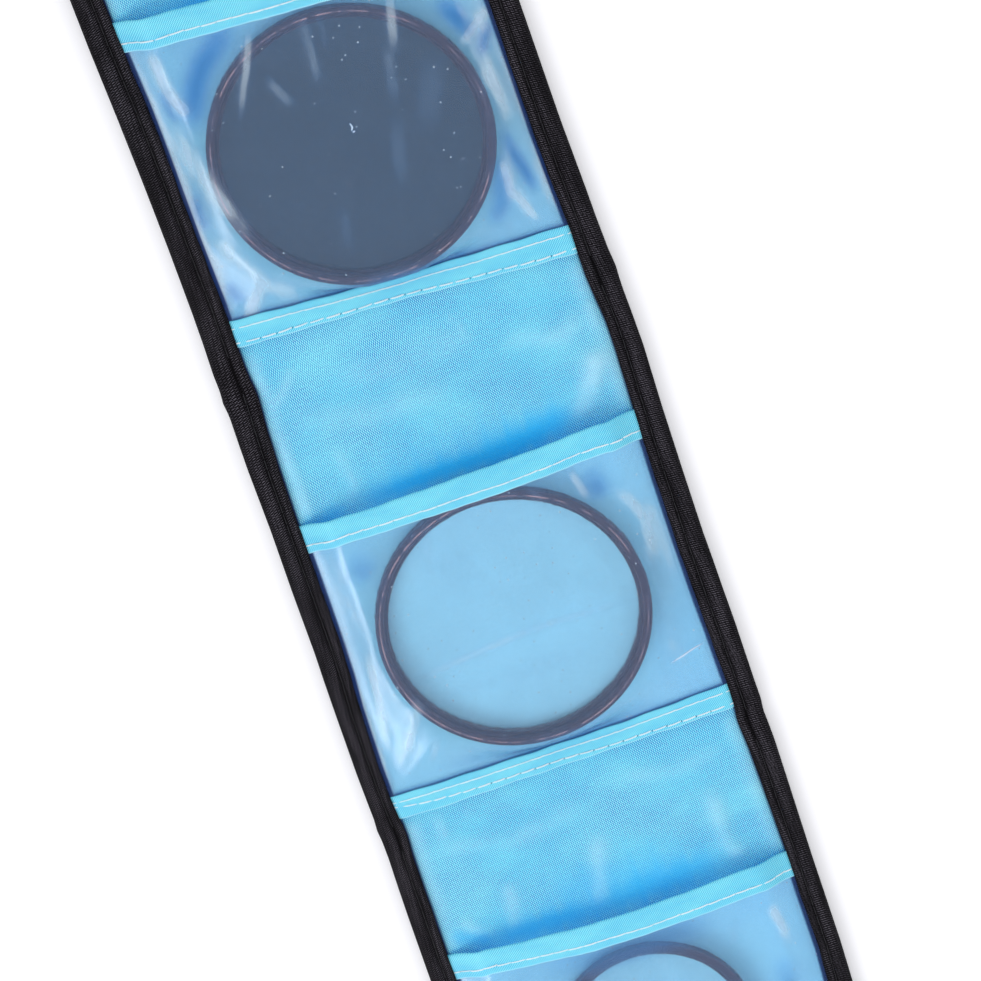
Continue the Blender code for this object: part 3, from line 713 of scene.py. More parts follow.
def swept_band(name, outline, stations, place, material, layout, marks, strip=None):
    """A closed outline carried along stations: place(station, outline) gives that section's points."""
    count = len(outline)
    points = np.concatenate([place(station, outline) for station in stations])
    index = np.arange(len(points)).reshape(len(stations), count)
    after = np.roll(index, -1, axis=1)
    quads = np.stack([index[:-1], index[1:], after[1:], after[:-1]], -1).reshape(-1, 4)
    caps = [tuple(index[0]), tuple(index[-1][::-1])]
    flat = np.concatenate([layout(station, outline) for station in stations])
    across = None
    if strip is not None:
        across = np.column_stack([np.repeat(stations * MM, count), np.tile(strip, len(stations))])
    values = {mark: np.tile(shade, len(stations)) for mark, shade in marks.items()}
    faces = [*quads.tolist(), *caps]
    return facing_out(make_mesh(name, settle(points), faces, material, flat, values, across))


def facing_out(obj):
    """Turns every face of a closed mesh outwards."""
    shape = bmesh.new()
    shape.from_mesh(obj.data)
    bmesh.ops.recalc_face_normals(shape, faces=shape.faces)
    shape.to_mesh(obj.data)
    shape.free()
    return obj


def spaced(low, high, step):
    return np.linspace(low, high, max(2, int(round(abs(high - low) / step)) + 1))


def grid_lines(*parts):
    """One rising row of places out of several."""
    return np.unique(np.concatenate(parts))


def ridge(x, y, path, height, width, taper=0.25):
    """A soft fold of cloth or film along a path of points, fading at both ends."""
    best = np.zeros_like(x)
    lengths = [math.dist(a, b) for a, b in zip(path, path[1:])]
    total, run = sum(lengths), 0.0
    for (ax, ay), (bx, by), length in zip(path, path[1:], lengths):
        along = ((x - ax) * (bx - ax) + (y - ay) * (by - ay)) / length ** 2
        held = np.clip(along, 0, 1)
        away = np.hypot(x - ax - held * (bx - ax), y - ay - held * (by - ay))
        whole = (run + held * length) / total
        fade = smooth(whole / taper) * smooth((1 - whole) / taper)
        best = np.maximum(best, height * fade * np.exp(-((away / width) ** 2)))
        run += length
    return best


def ridges(x, y, folds, taper=0.25):
    return sum((ridge(x, y, path, height, width, taper) for path, height, width in folds), np.zeros_like(x))


def waves(x, y, scale, seed):
    """Slow rolling height between -1 and 1, the same on every run."""
    rng = np.random.default_rng(seed)
    total = np.zeros_like(x)
    for _ in range(7):
        angle = rng.uniform(0, math.pi)
        phase = rng.uniform(0, 6.28)
        pace = rng.uniform(0.6, 1.8) / scale
        total += np.sin((x * math.cos(angle) + y * math.sin(angle)) * pace * 2 * math.pi + phase)
    return total / 4


# Soft folds set into the plain lengths of lining, each lit along its length by a painted highlight: path,
# height and half width
LINING_FOLDS = (
    (((48, 85), (41.6, 73), (34.5, 62)), 1.3, 3.0), (((-47, 90), (-46, 70), (-46, 56)), 0.7, 1.7),
    (((-33, 81), (-31, 67), (-37, 50)), 0.5, 1.6), (((9.8, 107.6), (13.8, 95)), 0.3, 0.8),
    (((-36, 106), (-41.4, 99), (-48, 94)), 0.5, 1.6), (((-47, 107), (-46.4, 96)), 0.35, 1.2),
    (((-30, 100), (-8, 96), (16, 99)), 0.3, 4.0), (((-44, 92), (-20, 84), (8, 86)), 0.35, 3.5),
    (((20, 94), (38, 90), (49, 96)), 0.45, 3.0), (((47.7, 98), (49, 88)), 0.4, 1.8),
    (((-46, -75), (-35, -87.5)), 0.7, 1.7), (((-27.4, -67), (-30, -87)), 0.7, 2.4),
    (((2.5, -60), (-1.9, -79), (-6, -89)), 0.9, 2.6), (((37.4, -57), (38, -77), (42.3, -88)), 0.9, 2.6),
    (((16.3, -78), (15, -91)), 0.5, 2.2), (((-41, -38), (-40.5, -50)), 0.45, 1.6),
    (((-31.3, -38), (-31.7, -45)), 0.35, 1.2), (((-48, -50), (-22, -56), (4, -51)), 0.35, 3.0),
    (((10, -46), (30, -50), (48, -47)), 0.35, 2.4), (((-40, 226), (-12, 222), (18, 228)), 0.5, 3.0),
    (((24, 214), (30, 226), (42, 238)), 0.7, 2.6), (((-30, -206), (-2, -212), (26, -204)), 0.5, 3.2),
    (((-20, -236), (-24, -222), (-36, -210)), 0.7, 2.4), (((-30, 318), (0, 312), (32, 306)), 0.3, 3.4),
)
# Painted shade of the tapes on the lining: pocket, path along its upper side, strength, and reach beside the
# path
SHADE_BANDS = (
    (1, ((-44, 212.6), (-20, 213.4), (10, 213), (42, 212)), 0.85, 3.4),
    (2, ((-50, 56), (-42, 58.5), (-34, 60.5)), 0.5, 2.2),
    (2, ((-44, 61), (-10, 64.5), (20, 66), (46, 69)), 0.28, 7.0),
    (2, ((-36, 59.6), (-24, 61), (-6, 62.2), (11, 62.2), (28, 65), (38, 67.5)), 1.0, 3.0),
    (2, ((2, 62.5), (18, 63.5), (37, 68)), 0.75, 4.4),
    (3, ((-52, -83), (-38, -86), (-22, -85.5), (-6, -85.5), (12, -84.5), (30, -84), (44, -84)), 0.62, 4.6),
    (3, ((-38, -85.4), (-22, -84.8), (-6, -85.2)), 0.45, 2.4),
    (3, ((-4, -84.6), (14, -82), (38, -82)), 0.55, 4.4),
    (3, ((-24, -77), (8, -77.5), (30, -77)), 0.34, 6.0), (3, ((-51, -79.5), (-36, -86)), 0.45, 2.2),
    (4, ((-42, -234), (-10, -233), (40, -234)), 0.8, 3.2),
)
# Deeper blue where film lies close on the lining in the pockets, and painted shade where it shades itself;
# painted on the lining and on the film
UNDER_BANDS = (
    (((-18, 206), (-25, 202), (-31, 197.5), (-34.8, 192.5), (-37.4, 187), (-40, 177)), 1.0, 3.2),
    (((38, 194), (40, 186)), 0.4, 1.6), (((34, 195), (37.5, 189), (40.1, 184), (41, 180)), 0.95, 2.0),
    (((47, 184), (43.5, 179), (41.5, 174)), 0.9, 1.5),
    (((40.4, 155), (41.5, 147), (43.1, 140), (44.6, 131)), 0.95, 1.5),
    (((38.4, 148), (34.5, 134), (29, 126)), 0.6, 2.4),
    (((-44.4, 195), (-44.3, 187), (-42.4, 182)), 0.6, 1.2),
    (((-45.6, 164), (-46.5, 156), (-45.8, 150)), 0.6, 1.5), (((-46, 136), (-43, 127)), 0.5, 1.8),
    (((33, 50), (36, 40)), 0.6, 3.0), (((-14, 123.5), (10, 121.5), (24, 123)), 0.5, 2.0),
    (((-28, 122), (4, 119), (36, 121)), 0.4, 3.0), (((-40, -27), (0, -26.6), (40, -28)), 0.25, 2.0),
    (((-40, 46), (-34, 38)), 0.4, 3.4), (((-30, -100), (30, -99)), 0.45, 4.0),
    (((43, -118), (41, -138)), 0.4, 3.0),
)


def plain_share(y):
    """1 on the plain lengths of a panel, 0 under its pocket, where filters lie on the lining."""
    share = smooth((y - 262) / 6)
    for pocket in POCKETS:
        high = seam_top(pocket - 1) - 9 if pocket > 1 else FOLDS["flap"][0]
        share = np.maximum(share, smooth((y - mouth_high(pocket) + 1) / 5) * smooth((high - y) / 5))
    return share


def slide_path(x, y):
    """1 where a filter slides out over the lining, fading to 0 beside it."""
    lx, ly = laid(x, y)
    path = np.zeros_like(x)
    for number in FILTERS:
        right = node_span(f"filter_ring_{number}", 0)[1]
        low, high = node_span(f"filter_ring_{number}", 1)
        away = np.hypot(lx, (ly - (low + high) / 2 - SLIDE).clip(0))
        path = np.maximum(path, smooth((right + 3.4 - away) / 2.4) * (ly > low))
    return path


def lining_top(x, y):
    plain = plain_share(y) * smooth((52 - np.abs(x)) / 5)
    relief = 0.25 + 0.25 * waves(x, y, 46, 3) + ridges(*laid(x, y), LINING_FOLDS)
    return LINING_TOP + plain * (relief + (np.minimum(relief, 0.07) - relief) * slide_path(x, y))


def near(value, centre, reach):
    return np.exp(-(((value - centre) / reach) ** 2))


def lining_marks():
    """Where the lining gets painted light and shade: highlights on its folds and beside the bindings, shade
    from the tapes, deeper blue where film lies on it, lighter under the pockets' film, a darker blue beside
    the filters there, and a dark shadow line along the binding.
    """
    # Painted shade cast by the tapes, strongest next to them
    def deep(x, y):
        lx, ly = laid(x, y)
        ragged = 1 + 0.18 * np.sin(lx * 0.9) + 0.12 * np.sin(lx * 2.1 + 1)
        shade = np.zeros_like(x)
        for pocket, path, strength, reach in SHADE_BANDS:
            shade = shade + (1 - shade) * ridge(lx, ly, path, strength, reach * ragged, 0.3)
        return np.clip(shade, 0, 1)

    # Painted highlight: where the lining is made lighter, on its folds and in a strip beside the bindings
    def pale(x, y):
        edge = smooth((np.abs(x) - 44.5) / 5) * 0.55
        return np.clip(edge + 0.9 * ridges(*laid(x, y), LINING_FOLDS), 0, 1) * plain_share(y)

    # Deeper blue where film lies on the lining, partly painted shade
    def under(x, y):
        return np.clip(ridges(*laid(x, y), UNDER_BANDS), 0, 1)

    # Under each pocket's film, where the lining gets painted light
    def pocket(x, y):
        inside = np.zeros_like(x)
        for number in POCKETS:
            above_seam = smooth((y - seam_top(number) + 2) / 3)
            inside = np.maximum(inside, above_seam * smooth((mouth_low(number) + 4 - y) / 3))
        return inside

    # Painted shadow line along the bindings
    def rim(x, y):
        return smooth((np.abs(x) - 49.8) / 0.6)

    # Beside the filters under the film, where that painted light gives way to a darker, greyer blue
    def beside(x, y):
        first, second = (np.hypot(x, y - pocket_centre(number)) for number in POCKETS[:2])
        share = np.where(first < second, 0.95, 0.9 - 0.6 * smooth(x / 20 + 0.5))
        return pocket(x, y) * smooth((np.minimum(first, second) - 37) / 3) * share

    return {"deep": deep, "pale": pale, "pocket": pocket, "beside": beside, "under": under, "rim": rim}


def ends(high, low):
    """The upper and lower ends of a base layer, kept inside the end bindings."""
    tip_inset = 2.6
    return min(high, TIP_Y - tip_inset), max(low, END_Y + tip_inset)


def bent(obj, fold, kind, nodes):
    """Keeps a finished length that crosses a fold in place of base layers: its transform is applied and those
    layers are hidden.
    """
    place, above, below = FOLDS[fold]
    (place + FOLD_REACH) * MM
    (place - FOLD_REACH) * MM
    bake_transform(obj)
    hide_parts(*(f"{kind}_{node}" for node in nodes))


def fixed(obj, body, slot, *nodes):
    """Fastens a finished piece to one body, in place of source nodes if it stands for any."""
    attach(obj, body)
    if nodes:
        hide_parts(*nodes)


def add_linings(material):
    across = grid_lines(spaced(-CLOTH_HALF, CLOTH_HALF, 1.6), [-50.6, -49.8, 49.8, 50.6])
    for name, high, low, fold, nodes in STRETCHES:
        top, foot = ends(high, low)
        along = spaced(foot, top, 1.6)
        obj = cloth_slab(f"lining_{name}", across, along, lining_top, 0.3, material, lining_marks())
        bent(obj, fold, "lining", nodes)
        (top - foot) * MM


def shell_bottom(x, y):
    """The back bulges a little between its bindings, as thin foam does, and pulls in at the folds."""
    puff = smooth((50 - np.abs(x)) / 14) * 0.26
    for place, _, _ in FOLDS.values():
        puff = puff * (1 - 0.9 * near(y, place, 5))
    return SHELL_LOW - puff * (0.8 + 0.2 * waves(x, y, 34, 5))


def add_shells(material):
    for name, high, low, fold, nodes in STRETCHES:
        top, foot = ends(high, low)
        obj = cloth_slab(
            f"outer_shell_{name}", spaced(-CLOTH_HALF, CLOTH_HALF, 2.4), spaced(foot, top, 2.0),
            lambda x, y: np.full_like(x, SHELL_TOP), lambda x, y: SHELL_TOP - shell_bottom(x, y), material,
        )
        bent(obj, fold, "outer_shell", nodes)
        (top - foot) * MM


def add_padding(material):
    """Foam between shell and lining, one crowned slab for each panel, stopped short of the folds."""
    half = 55.5
    across = grid_lines(spaced(-half, half, 4), [-54.8, -53.8, 53.8, 54.8])
    for node in ("tongue", "spine", "1", "2", "3", "4"):
        low, high = node_span(f"padding_{node}", 1)
        middle, long = (low + high) / 2, (high - low) / 2

        def crown(x, y):
            return smooth(np.minimum(half - np.abs(x), long - np.abs(y - middle)) / 3.2)

        def top(x, y):
            return PADDING_LOW + 0.35 + (PADDING_TOP - PADDING_LOW - 0.35) * crown(x, y)

        def depth(x, y):
            return top(x, y) - (PADDING_LOW + 0.25 * (1 - crown(x, y)))

        along = grid_lines(spaced(low, high, 4), [low + 0.7, low + 1.7, high - 1.7, high - 0.7])
        obj = cloth_slab(f"foam_{node}", across, along, top, depth, material)
        fixed(obj, body_of(node), "foam", f"padding_{node}")


def binding_outline():
    """Section of the folded ribbon: from its upper free edge round the outside to its lower one, back inside.

    Each row is: place across as a distance in from the strip's edge, height, and ribbon length from the upper
    edge. The free edges are given as distances out from the ribbon's inner edge.
    """
    upper = [
        (0, 4.42), (0.12, 4.74), (0.6, 4.93), (1.6, 4.99), (2.3, 4.93), (2.8, 4.6), (3.1, 4.48), (3.4, 4.6),
        (3.9, 4.93),
    ]
    lower = [
        (3.9, 0.13), (3.4, 0.34), (3.1, 0.4), (2.8, 0.34), (2.2, 0.13), (1.0, 0.1), (0.2, 0.14), (0, 0.3),
    ]
    inside = [(2.6, 4.2), (3.1, 4.12), (3.6, 4.2), (0.06, 4.3)]

    def inset(rows):
        return [(BINDING_COVER - out, height) for out, height in rows]

    def half_round(steps, start, turn, middle, radii):
        angles = [start + turn * step / steps for step in range(steps + 1)]
        return [(middle[0] - radii[0] * math.cos(a), middle[1] + radii[1] * math.sin(a)) for a in angles]

    outside = half_round(12, math.pi / 2, -math.pi, (2.45, 2.55), (2.45, 2.43))
    hollow = half_round(8, -math.pi / 2, math.pi, (2.5, 2.5), (2.0, 2.0))
    outer = [*inset(upper), (3.4, 5.0), *outside, (3.6, 0.1), *inset(lower)]
    inner = [(BINDING_COVER - 0.05, 0.52), (4.0, 0.52), *hollow, (4.0, 4.48), *inset(inside)]
    run, rows = 0.0, []
    for i, (place, height) in enumerate(outer):
        if i:
            run += math.dist(outer[i - 1], (place, height))
        rows.append((place, height, run))
    rows += [(place, height, run * 0.5) for place, height in inner]
    return np.array(rows), len(outer)


def binding_marks(outline, outer_count):
    """The crests, where the painted sheen is stronger, and the stitched groove and the ribbon's inside,
    painted dark as shade.
    """
    inset = outline[:, 0]
    groove = near(inset, BINDING_COVER - GROOVE_INSET, 0.45)
    crest = np.clip(near(inset, BINDING_COVER - 1.5, 1.0) + near(inset, 3.2, 1.8), 0, 1)
    inside = np.arange(len(outline)) >= outer_count
    return {"groove": np.where(inside, 1.0, groove * 0.9), "crest": np.where(inside, 0.0, crest)}


def ribbon_layout(station, rows):
    """The ribbon laid out flat: its length runs along, its width across."""
    return np.column_stack([rows[:, 2], np.full(len(rows), station)])


def kink(y, side):
    """How the ribbon bunches where the strip is folded: its sides draw in and its top dips."""
    dip = np.zeros_like(y)
    for place in ([101.5, -42.0] if side < 0 else [104.5, -40.0]):
        dip += near(y, place, 1.1) * 0.35 + near(y, place - 3.4, 0.8) * 0.2 + near(y, place + 3.0, 0.9) * 0.22
    for name in ("tongue", "flap", "3_4"):
        dip += near(y, FOLDS[name][0], 1.3) * 0.3
    return dip


def add_side_bindings(material):
    outline, outer_count = binding_outline()
    shades = binding_marks(outline, outer_count)
    end_gap = 0.2
    for side, label in ((-1, "left"), (1, "right")):
        def place(station, rows):
            inset, height = rows[:, 0], rows[:, 1]
            y = np.full(len(rows), station)
            bunch = kink(y, side)
            wobble = 0.12 * np.sin(station * 0.21 + side) + 0.08 * np.sin(station * 0.53 + 2 * side)
            lift = 1 - (bunch * 0.26 + 0.02 * np.abs(wobble) + 0.004) * smooth((height - 2) / 2)
            drawn = wobble * 0.5 * smooth(inset / 8) - 0.35 * bunch * smooth((inset - 5) / 3)
            return np.column_stack([side * (HALF_WIDTH - inset + drawn), y, height * lift])

        for name, high, low, fold, nodes in STRETCHES:
            top = min(high, TIP_Y - END_BAND - end_gap)
            foot = max(low, END_Y + END_BAND + end_gap)
            kind = f"{label}_binding"
            stations = spaced(foot, top, 1.3)
            obj = swept_band(f"{kind}_{name}", outline, stations, place, material, ribbon_layout, shades)
            bent(obj, fold, kind, nodes)
            (top - foot) * MM


def add_end_bindings(material):
    outline, outer_count = binding_outline()
    shades = binding_marks(outline, outer_count)
    corner_reach, middle = 2.4, 2.5
    rounding = HALF_WIDTH - np.array([0, 0.03, 0.12, 0.27, 0.5, 0.8, 1.2, 1.7])
    straight = HALF_WIDTH - corner_reach
    stations = grid_lines(spaced(-straight, straight, 1.3), rounding, -rounding)
    for name, edge, direction, body in (
        ("tongue_end_binding", TIP_Y, 1, "tongue"), ("strip_end_binding", END_Y, -1, "panel_4"),
    ):
        def place(station, rows):
            corner = corner_reach * smooth((abs(station) - HALF_WIDTH + 2.6) / 2.6) ** 2
            inset = rows[:, 0] + corner * (1 - rows[:, 0] / 9)
            wobble = 0.1 * math.sin(station * 0.3)
            past = min(max((abs(station) - HALF_WIDTH + corner_reach) / corner_reach, 0), 1)
            closed = math.sqrt(1 - (0.985 * past) ** 2)
            y = edge - direction * inset + wobble * 0.4
            return np.column_stack([np.full(len(rows), station), y, middle + (rows[:, 1] - middle) * closed])

        obj = swept_band(f"{name}_ribbon", outline, stations, place, material, ribbon_layout, shades)
        fixed(obj, body, "binding", name)


def slope_rise(x):
    """The arch of a pocket's mouth across the strip, 0 at the binding and 1 over the filter."""
    return smooth((SLOPE_HALF - np.abs(x)) / (SLOPE_HALF - PLATEAU_HALF))


def mouth_middle(x):
    """Height of the film's middle under the mouth tape, with a slight crown."""
    crown = 0.45 * slope_rise(x) * (1 - (x / PLATEAU_HALF) ** 2).clip(0)
    return FILM_LOW + 0.15 + ARCH_RISE * slope_rise(x) + crown


# Folds of the film in each pocket, and the places where it is whitish, partly the vinyl's whitening and
# partly a painted sheen, read where the case lies
FILM_FOLDS = {
    1: (
        (((-43.5, 206), (-42.3, 195), (-39.3, 184)), 0.8, 1.7),
        (((-15.7, 204), (-20, 194), (-26, 181)), 0.45, 1.6),
        (((-1.2, 203), (-2.5, 190), (-2.5, 182)), 0.35, 1.5),
        (((23, 199), (20.2, 189), (16.3, 180)), 0.45, 1.8),
        (((-48, 177), (-50, 162), (-48.7, 152)), 0.5, 1.5),
        (((-41, 179), (-39.5, 167), (-37, 152)), 0.5, 1.8),
        (((-45.6, 152), (-40.6, 143), (-34, 132)), 0.6, 2.0),
        (((-36, 133), (-41.5, 126), (-47, 120)), 0.6, 1.8),
        (((37.4, 191), (45, 185), (43, 174), (45, 162)), 0.6, 1.8),
        (((39.5, 152), (38.6, 137), (42, 122.6)), 0.75, 1.6),
        (((47, 150), (47.5, 134), (49, 123)), 0.45, 1.3), (((-16, 189), (-11, 178.6)), 0.3, 1.4),
    ),
    2: (
        (((-41.7, 22), (-46, -3), (-47, -18)), 0.5, 1.5),
        (((-32.5, 1), (-41.6, -14.6), (-47, -24)), 0.4, 1.6), (((-43, 50), (-42, 38)), 0.35, 1.2),
        (((28.3, 53.5), (31.5, 42)), 0.4, 1.8), (((38, 46), (45.4, 31), (42.3, 15)), 0.5, 1.7),
        (((-35, 5.9), (-8.4, 7.7), (8.6, 9.8), (32.4, 8.5)), 0.12, 0.9), (((40, -6), (44, -18)), 0.3, 1.4),
        (((-14, 52), (-18, 40)), 0.25, 1.4), (((16, 53), (20, 42)), 0.22, 1.4),
    ),
    3: (
        (((-46, -98), (-44, -116)), 0.5, 1.5), (((44, -97), (46, -112)), 0.5, 1.5),
        (((-36, -97), (-31, -106)), 0.4, 1.4), (((34, -98), (30, -108)), 0.35, 1.3),
        (((-40, -150), (-34, -166)), 0.45, 1.8), (((38, -152), (32, -168)), 0.4, 1.7),
        (((-10, -98), (-8, -130), (-12, -150)), 0.3, 2.2),
    ),
    4: (
        (((-30, -248), (-24, -280), (-32, -310)), 0.6, 2.2),
        (((10, -247), (4, -276), (12, -304)), 0.6, 2.4), (((38, -250), (34, -290)), 0.5, 2.0),
        (((-46, -262), (-42, -284)), 0.5, 1.7),
    ),
}
FILM_VEILS = {
    1: (
        (((-43.4, 208), (-43.4, 197), (-41, 189.5), (-38.6, 183)), 0.20, 2.2),
        (((-46, 186), (-44.6, 179), (-41.9, 168.7), (-40, 161), (-37, 152), (-34.6, 144)), 0.36, 2.5),
        (((-44.6, 152), (-40, 141), (-34, 131), (-25, 124)), 0.24, 2.6),
        (((-35, 135), (-39.1, 129.2), (-44, 122)), 0.26, 1.9),
        (((-48.2, 208), (-48.2, 185), (-47.4, 168), (-48.4, 140), (-48.6, 118)), 0.34, 1.2),
        (((-46, 146), (-47.4, 130)), 0.2, 1.8),
        (((36, 180), (40, 182.2), (43.7, 185.1), (48, 188)), 0.26, 1.7),
        (((44, 206), (45, 196), (47, 190)), 0.22, 2.2),
        (((40.6, 176), (42.3, 168), (43.8, 161.6), (43.2, 154)), 0.34, 2.2),
        (((37.6, 148), (38, 136), (40.2, 129.8), (43, 122.6)), 0.26, 1.5),
        (((47.6, 184), (48, 171), (48.3, 158), (48.3, 142), (48.2, 122)), 0.28, 1.3),
        (((46, 144), (47.4, 128)), 0.18, 1.6), (((-20, 124), (10, 121), (34, 124)), 0.06, 4.0),
    ),
    2: (
        (((-41.7, 24), (-46, -3), (-47, -20)), 0.14, 2.6),
        (((-32.5, 1), (-41.6, -14.6), (-47, -26)), 0.14, 3.0),
        (((-44, 52), (-45, 36), (-44, 22)), 0.16, 2.6), (((38, 47), (45.4, 31), (42.3, 13)), 0.16, 2.8),
        (((-39, 3.5), (-22, 6.4), (-4, 8.6), (14, 9.6), (37, 8.6)), 0.17, 1.1),
        (((-30, -2), (-6, -3), (20, -1)), 0.07, 2.6), (((-22, 40), (-10, 36), (-12, 24)), 0.06, 6.0),
        (((-49.6, 52), (-50.4, -34)), 0.35, 0.8), (((47, 44), (48, 8)), 0.14, 2.0),
    ),
    3: (
        (((-46, -98), (-44, -116)), 0.2, 2.4), (((44, -97), (46, -116)), 0.15, 2.4),
        (((-36, -97), (-31, -108)), 0.15, 2.0), (((-12, -112), (10, -110)), 0.06, 9.0),
        (((-40, -150), (-34, -166)), 0.25, 2.4),
    ),
    4: (
        (((-30, -248), (-24, -280), (-32, -310)), 0.3, 2.6),
        (((10, -247), (4, -276), (12, -304)), 0.3, 2.8), (((38, -250), (34, -290)), 0.25, 2.4),
        (((-46, -262), (-42, -284)), 0.25, 2.2),
    ),
}


# How far the film stands clear of the filter in each pocket
FILM_FULLNESS = (0.42, 0.42, 0.75, 0.3)


def film_share(x, y, pocket):
    """0 over the filter, 1 at the sewn foot and sides of the film, where the case lies."""
    lx, ly = laid(x, y)
    centre = pocket_centre(pocket)
    foot = laid(x, np.full_like(x, seam_top(pocket) + 0.2))[1]
    straight = (np.abs(x) - PLATEAU_HALF) / (SLOPE_HALF - PLATEAU_HALF)
    down = np.maximum(centre - ly, 1e-6)
    reach = np.hypot(lx, down)
    to_side = SLOPE_HALF / np.maximum(np.abs(lx) / reach, 1e-6)
    to_foot = (centre - foot) / (down / reach)
    limit = np.minimum(to_side, to_foot)
    flat = np.minimum(PLATEAU_HALF, limit - 0.9)
    round_share = (reach - flat) / np.maximum(limit - flat, 0.4)
    return np.clip(round_share + (straight - round_share) * smooth((ly - centre) / 16), 0, 1)


def film_top(x, y, pocket):
    centre = pocket_centre(pocket)
    drape = smooth((y - centre - 22) / (mouth_low(pocket) - centre - 22))
    flat_top = FILM_LOW + FILM_THICKNESS
    low_rise = FILTER_TOP + FILM_FULLNESS[pocket - 1] - flat_top
    high_rise = mouth_middle(x) + 0.15 - flat_top
    rise = low_rise + (high_rise / np.maximum(slope_rise(x), 1e-3) - low_rise).clip(0, 3) * drape
    height = flat_top + rise * (1 - smooth(film_share(x, y, pocket) ** 0.85))
    free = smooth((SLOPE_HALF - np.abs(x)) / 3) * smooth((y - seam_top(pocket) - 0.8) / 2.5)
    free = free * smooth((mouth_high(pocket) - 2 - y) / 6)
    rolling = 0.10 + 0.10 * waves(x, y, 26, 11 + pocket)
    return height + free * (rolling + ridges(*laid(x, y), FILM_FOLDS[pocket]))


def add_films(material):
    for pocket in POCKETS:
        centre = pocket_centre(pocket)
        foot, mouth = node_span(f"window_{pocket}", 1)

        def top(x, y):
            return film_top(x, y, pocket)

        def taut(x, y):
            return 1 - smooth((np.hypot(x, y - centre) - 37) / 5) if pocket < 3 else np.zeros_like(x)

        def far(x, y):
            lifted = smooth((y - centre - 20) / (mouth_low(pocket) - centre - 20))
            return np.maximum(lifted, 0.7) if pocket == 3 else lifted

        # Where the film is made whiter along its folds and slopes: partly the vinyl's whitening, partly a
        # painted sheen
        def whitening_and_sheen(x, y):
            lx, ly = laid(x, y)
            slope = smooth(film_share(x, y, pocket) / 0.3) * 0.07
            veil = ridges(lx, ly, FILM_VEILS[pocket])
            return np.clip(veil + slope + 0.3 * ridges(lx, ly, FILM_FOLDS[pocket]), 0, 1)

        # Deeper blue on the film where it lies near the lining, partly painted shade
        def close(x, y):
            return np.clip(ridges(*laid(x, y), UNDER_BANDS, 0.4), 0, 1)

        # Painted shadow line on the film along the bindings and the seam tape's upper edge
        def edge(x, y):
            side = smooth((np.abs(x) - 49.1) / 0.6)
            return np.maximum(side, 0.8 * near(y, seam_top(pocket) + 0.15, 0.42))

        across = grid_lines(spaced(-CLOTH_HALF, CLOTH_HALF, 0.95), [-50.2, -49.7, -49.1, 49.1, 49.7, 50.2])
        low = seam_top(pocket)
        along = grid_lines(
            spaced(foot, low - 0.6, 1.2), spaced(low - 0.3, low + 4, 0.35), spaced(low + 4.6, mouth, 0.95),
        )
        obj = cloth_slab(
            f"pocket_film_{pocket}", across, along, top, FILM_THICKNESS, material,
            {"taut": taut, "far": far, "whitening_and_sheen": whitening_and_sheen, "close": close, "edge": edge},
        )
        fixed(obj, f"panel_{pocket}", "film", f"window_{pocket}")


def folded_outline(width, gap, thickness):
    """Section of a tape folded over an edge: distance down from the fold, height, share across."""
    half = gap / 2 + thickness
    rows = [
        (width, half - thickness * 0.75, 0.0), (width + 0.02, half - 0.08, 0.01), (width - 0.25, half, 0.03),
    ]
    for down in np.linspace(width - 0.9, 1.2, 9):
        crown = 0.10 * math.sin(math.pi * (down - 0.5) / (width - 0.5))
        stitched = -0.12 * math.exp(-(((down - (width - 2.5)) / 0.5) ** 2))
        rows.append((down, half + crown + stitched, 1 - down / width))
    for step in range(7):
        angle = math.pi / 2 - math.pi * step / 6
        rows.append((half - half * math.cos(angle) * 1.15, half * math.sin(angle), 1.0))
    for down in np.linspace(1.2, width - 0.4, 5):
        rows.append((down, -half, 1 - down / width))
    rows += [(width, -half + 0.06, 0.0), (width, -gap / 2, 0.0)]
    for down in np.linspace(width - 1, 1.0, 4):
        rows.append((down, -gap / 2, 1 - down / width))
    rows.append((half, 0, 1.0))
    for down in np.linspace(1.0, width - 1, 4):
        rows.append((down, gap / 2, 1 - down / width))
    return np.array(rows)


def tuck_share(x):
    """0 on the open width of a tape, 1 where it lies under the side binding."""
    return smooth((np.abs(x) - TUCK_START) / TUCK_REACH)


def tucked(x):
    """How far a tape drops as it runs in under the side binding."""
    return 0.75 * tuck_share(x)


def tape_sag(x, pocket):
    return 0.14 * np.sin(x * 0.35 + pocket) + 0.08 * np.sin(x * 0.93 + 2 * pocket)


def puckered(station, *seams):
    """Gathers of a tape between its stitches, along the rows where it is sewn."""
    return np.sin(station * 2 * math.pi / STITCH_PITCH) * sum(seams)


def tape_layout(floor):
    """Lays a tape out flat, with what is below the floor height mirrored as its under side."""
    def layout(station, rows):
        upper_side = np.where(rows[:, 1] > floor, 1, -1)
        return np.column_stack([np.full(len(rows), station), rows[:, 0] * upper_side])

    return layout


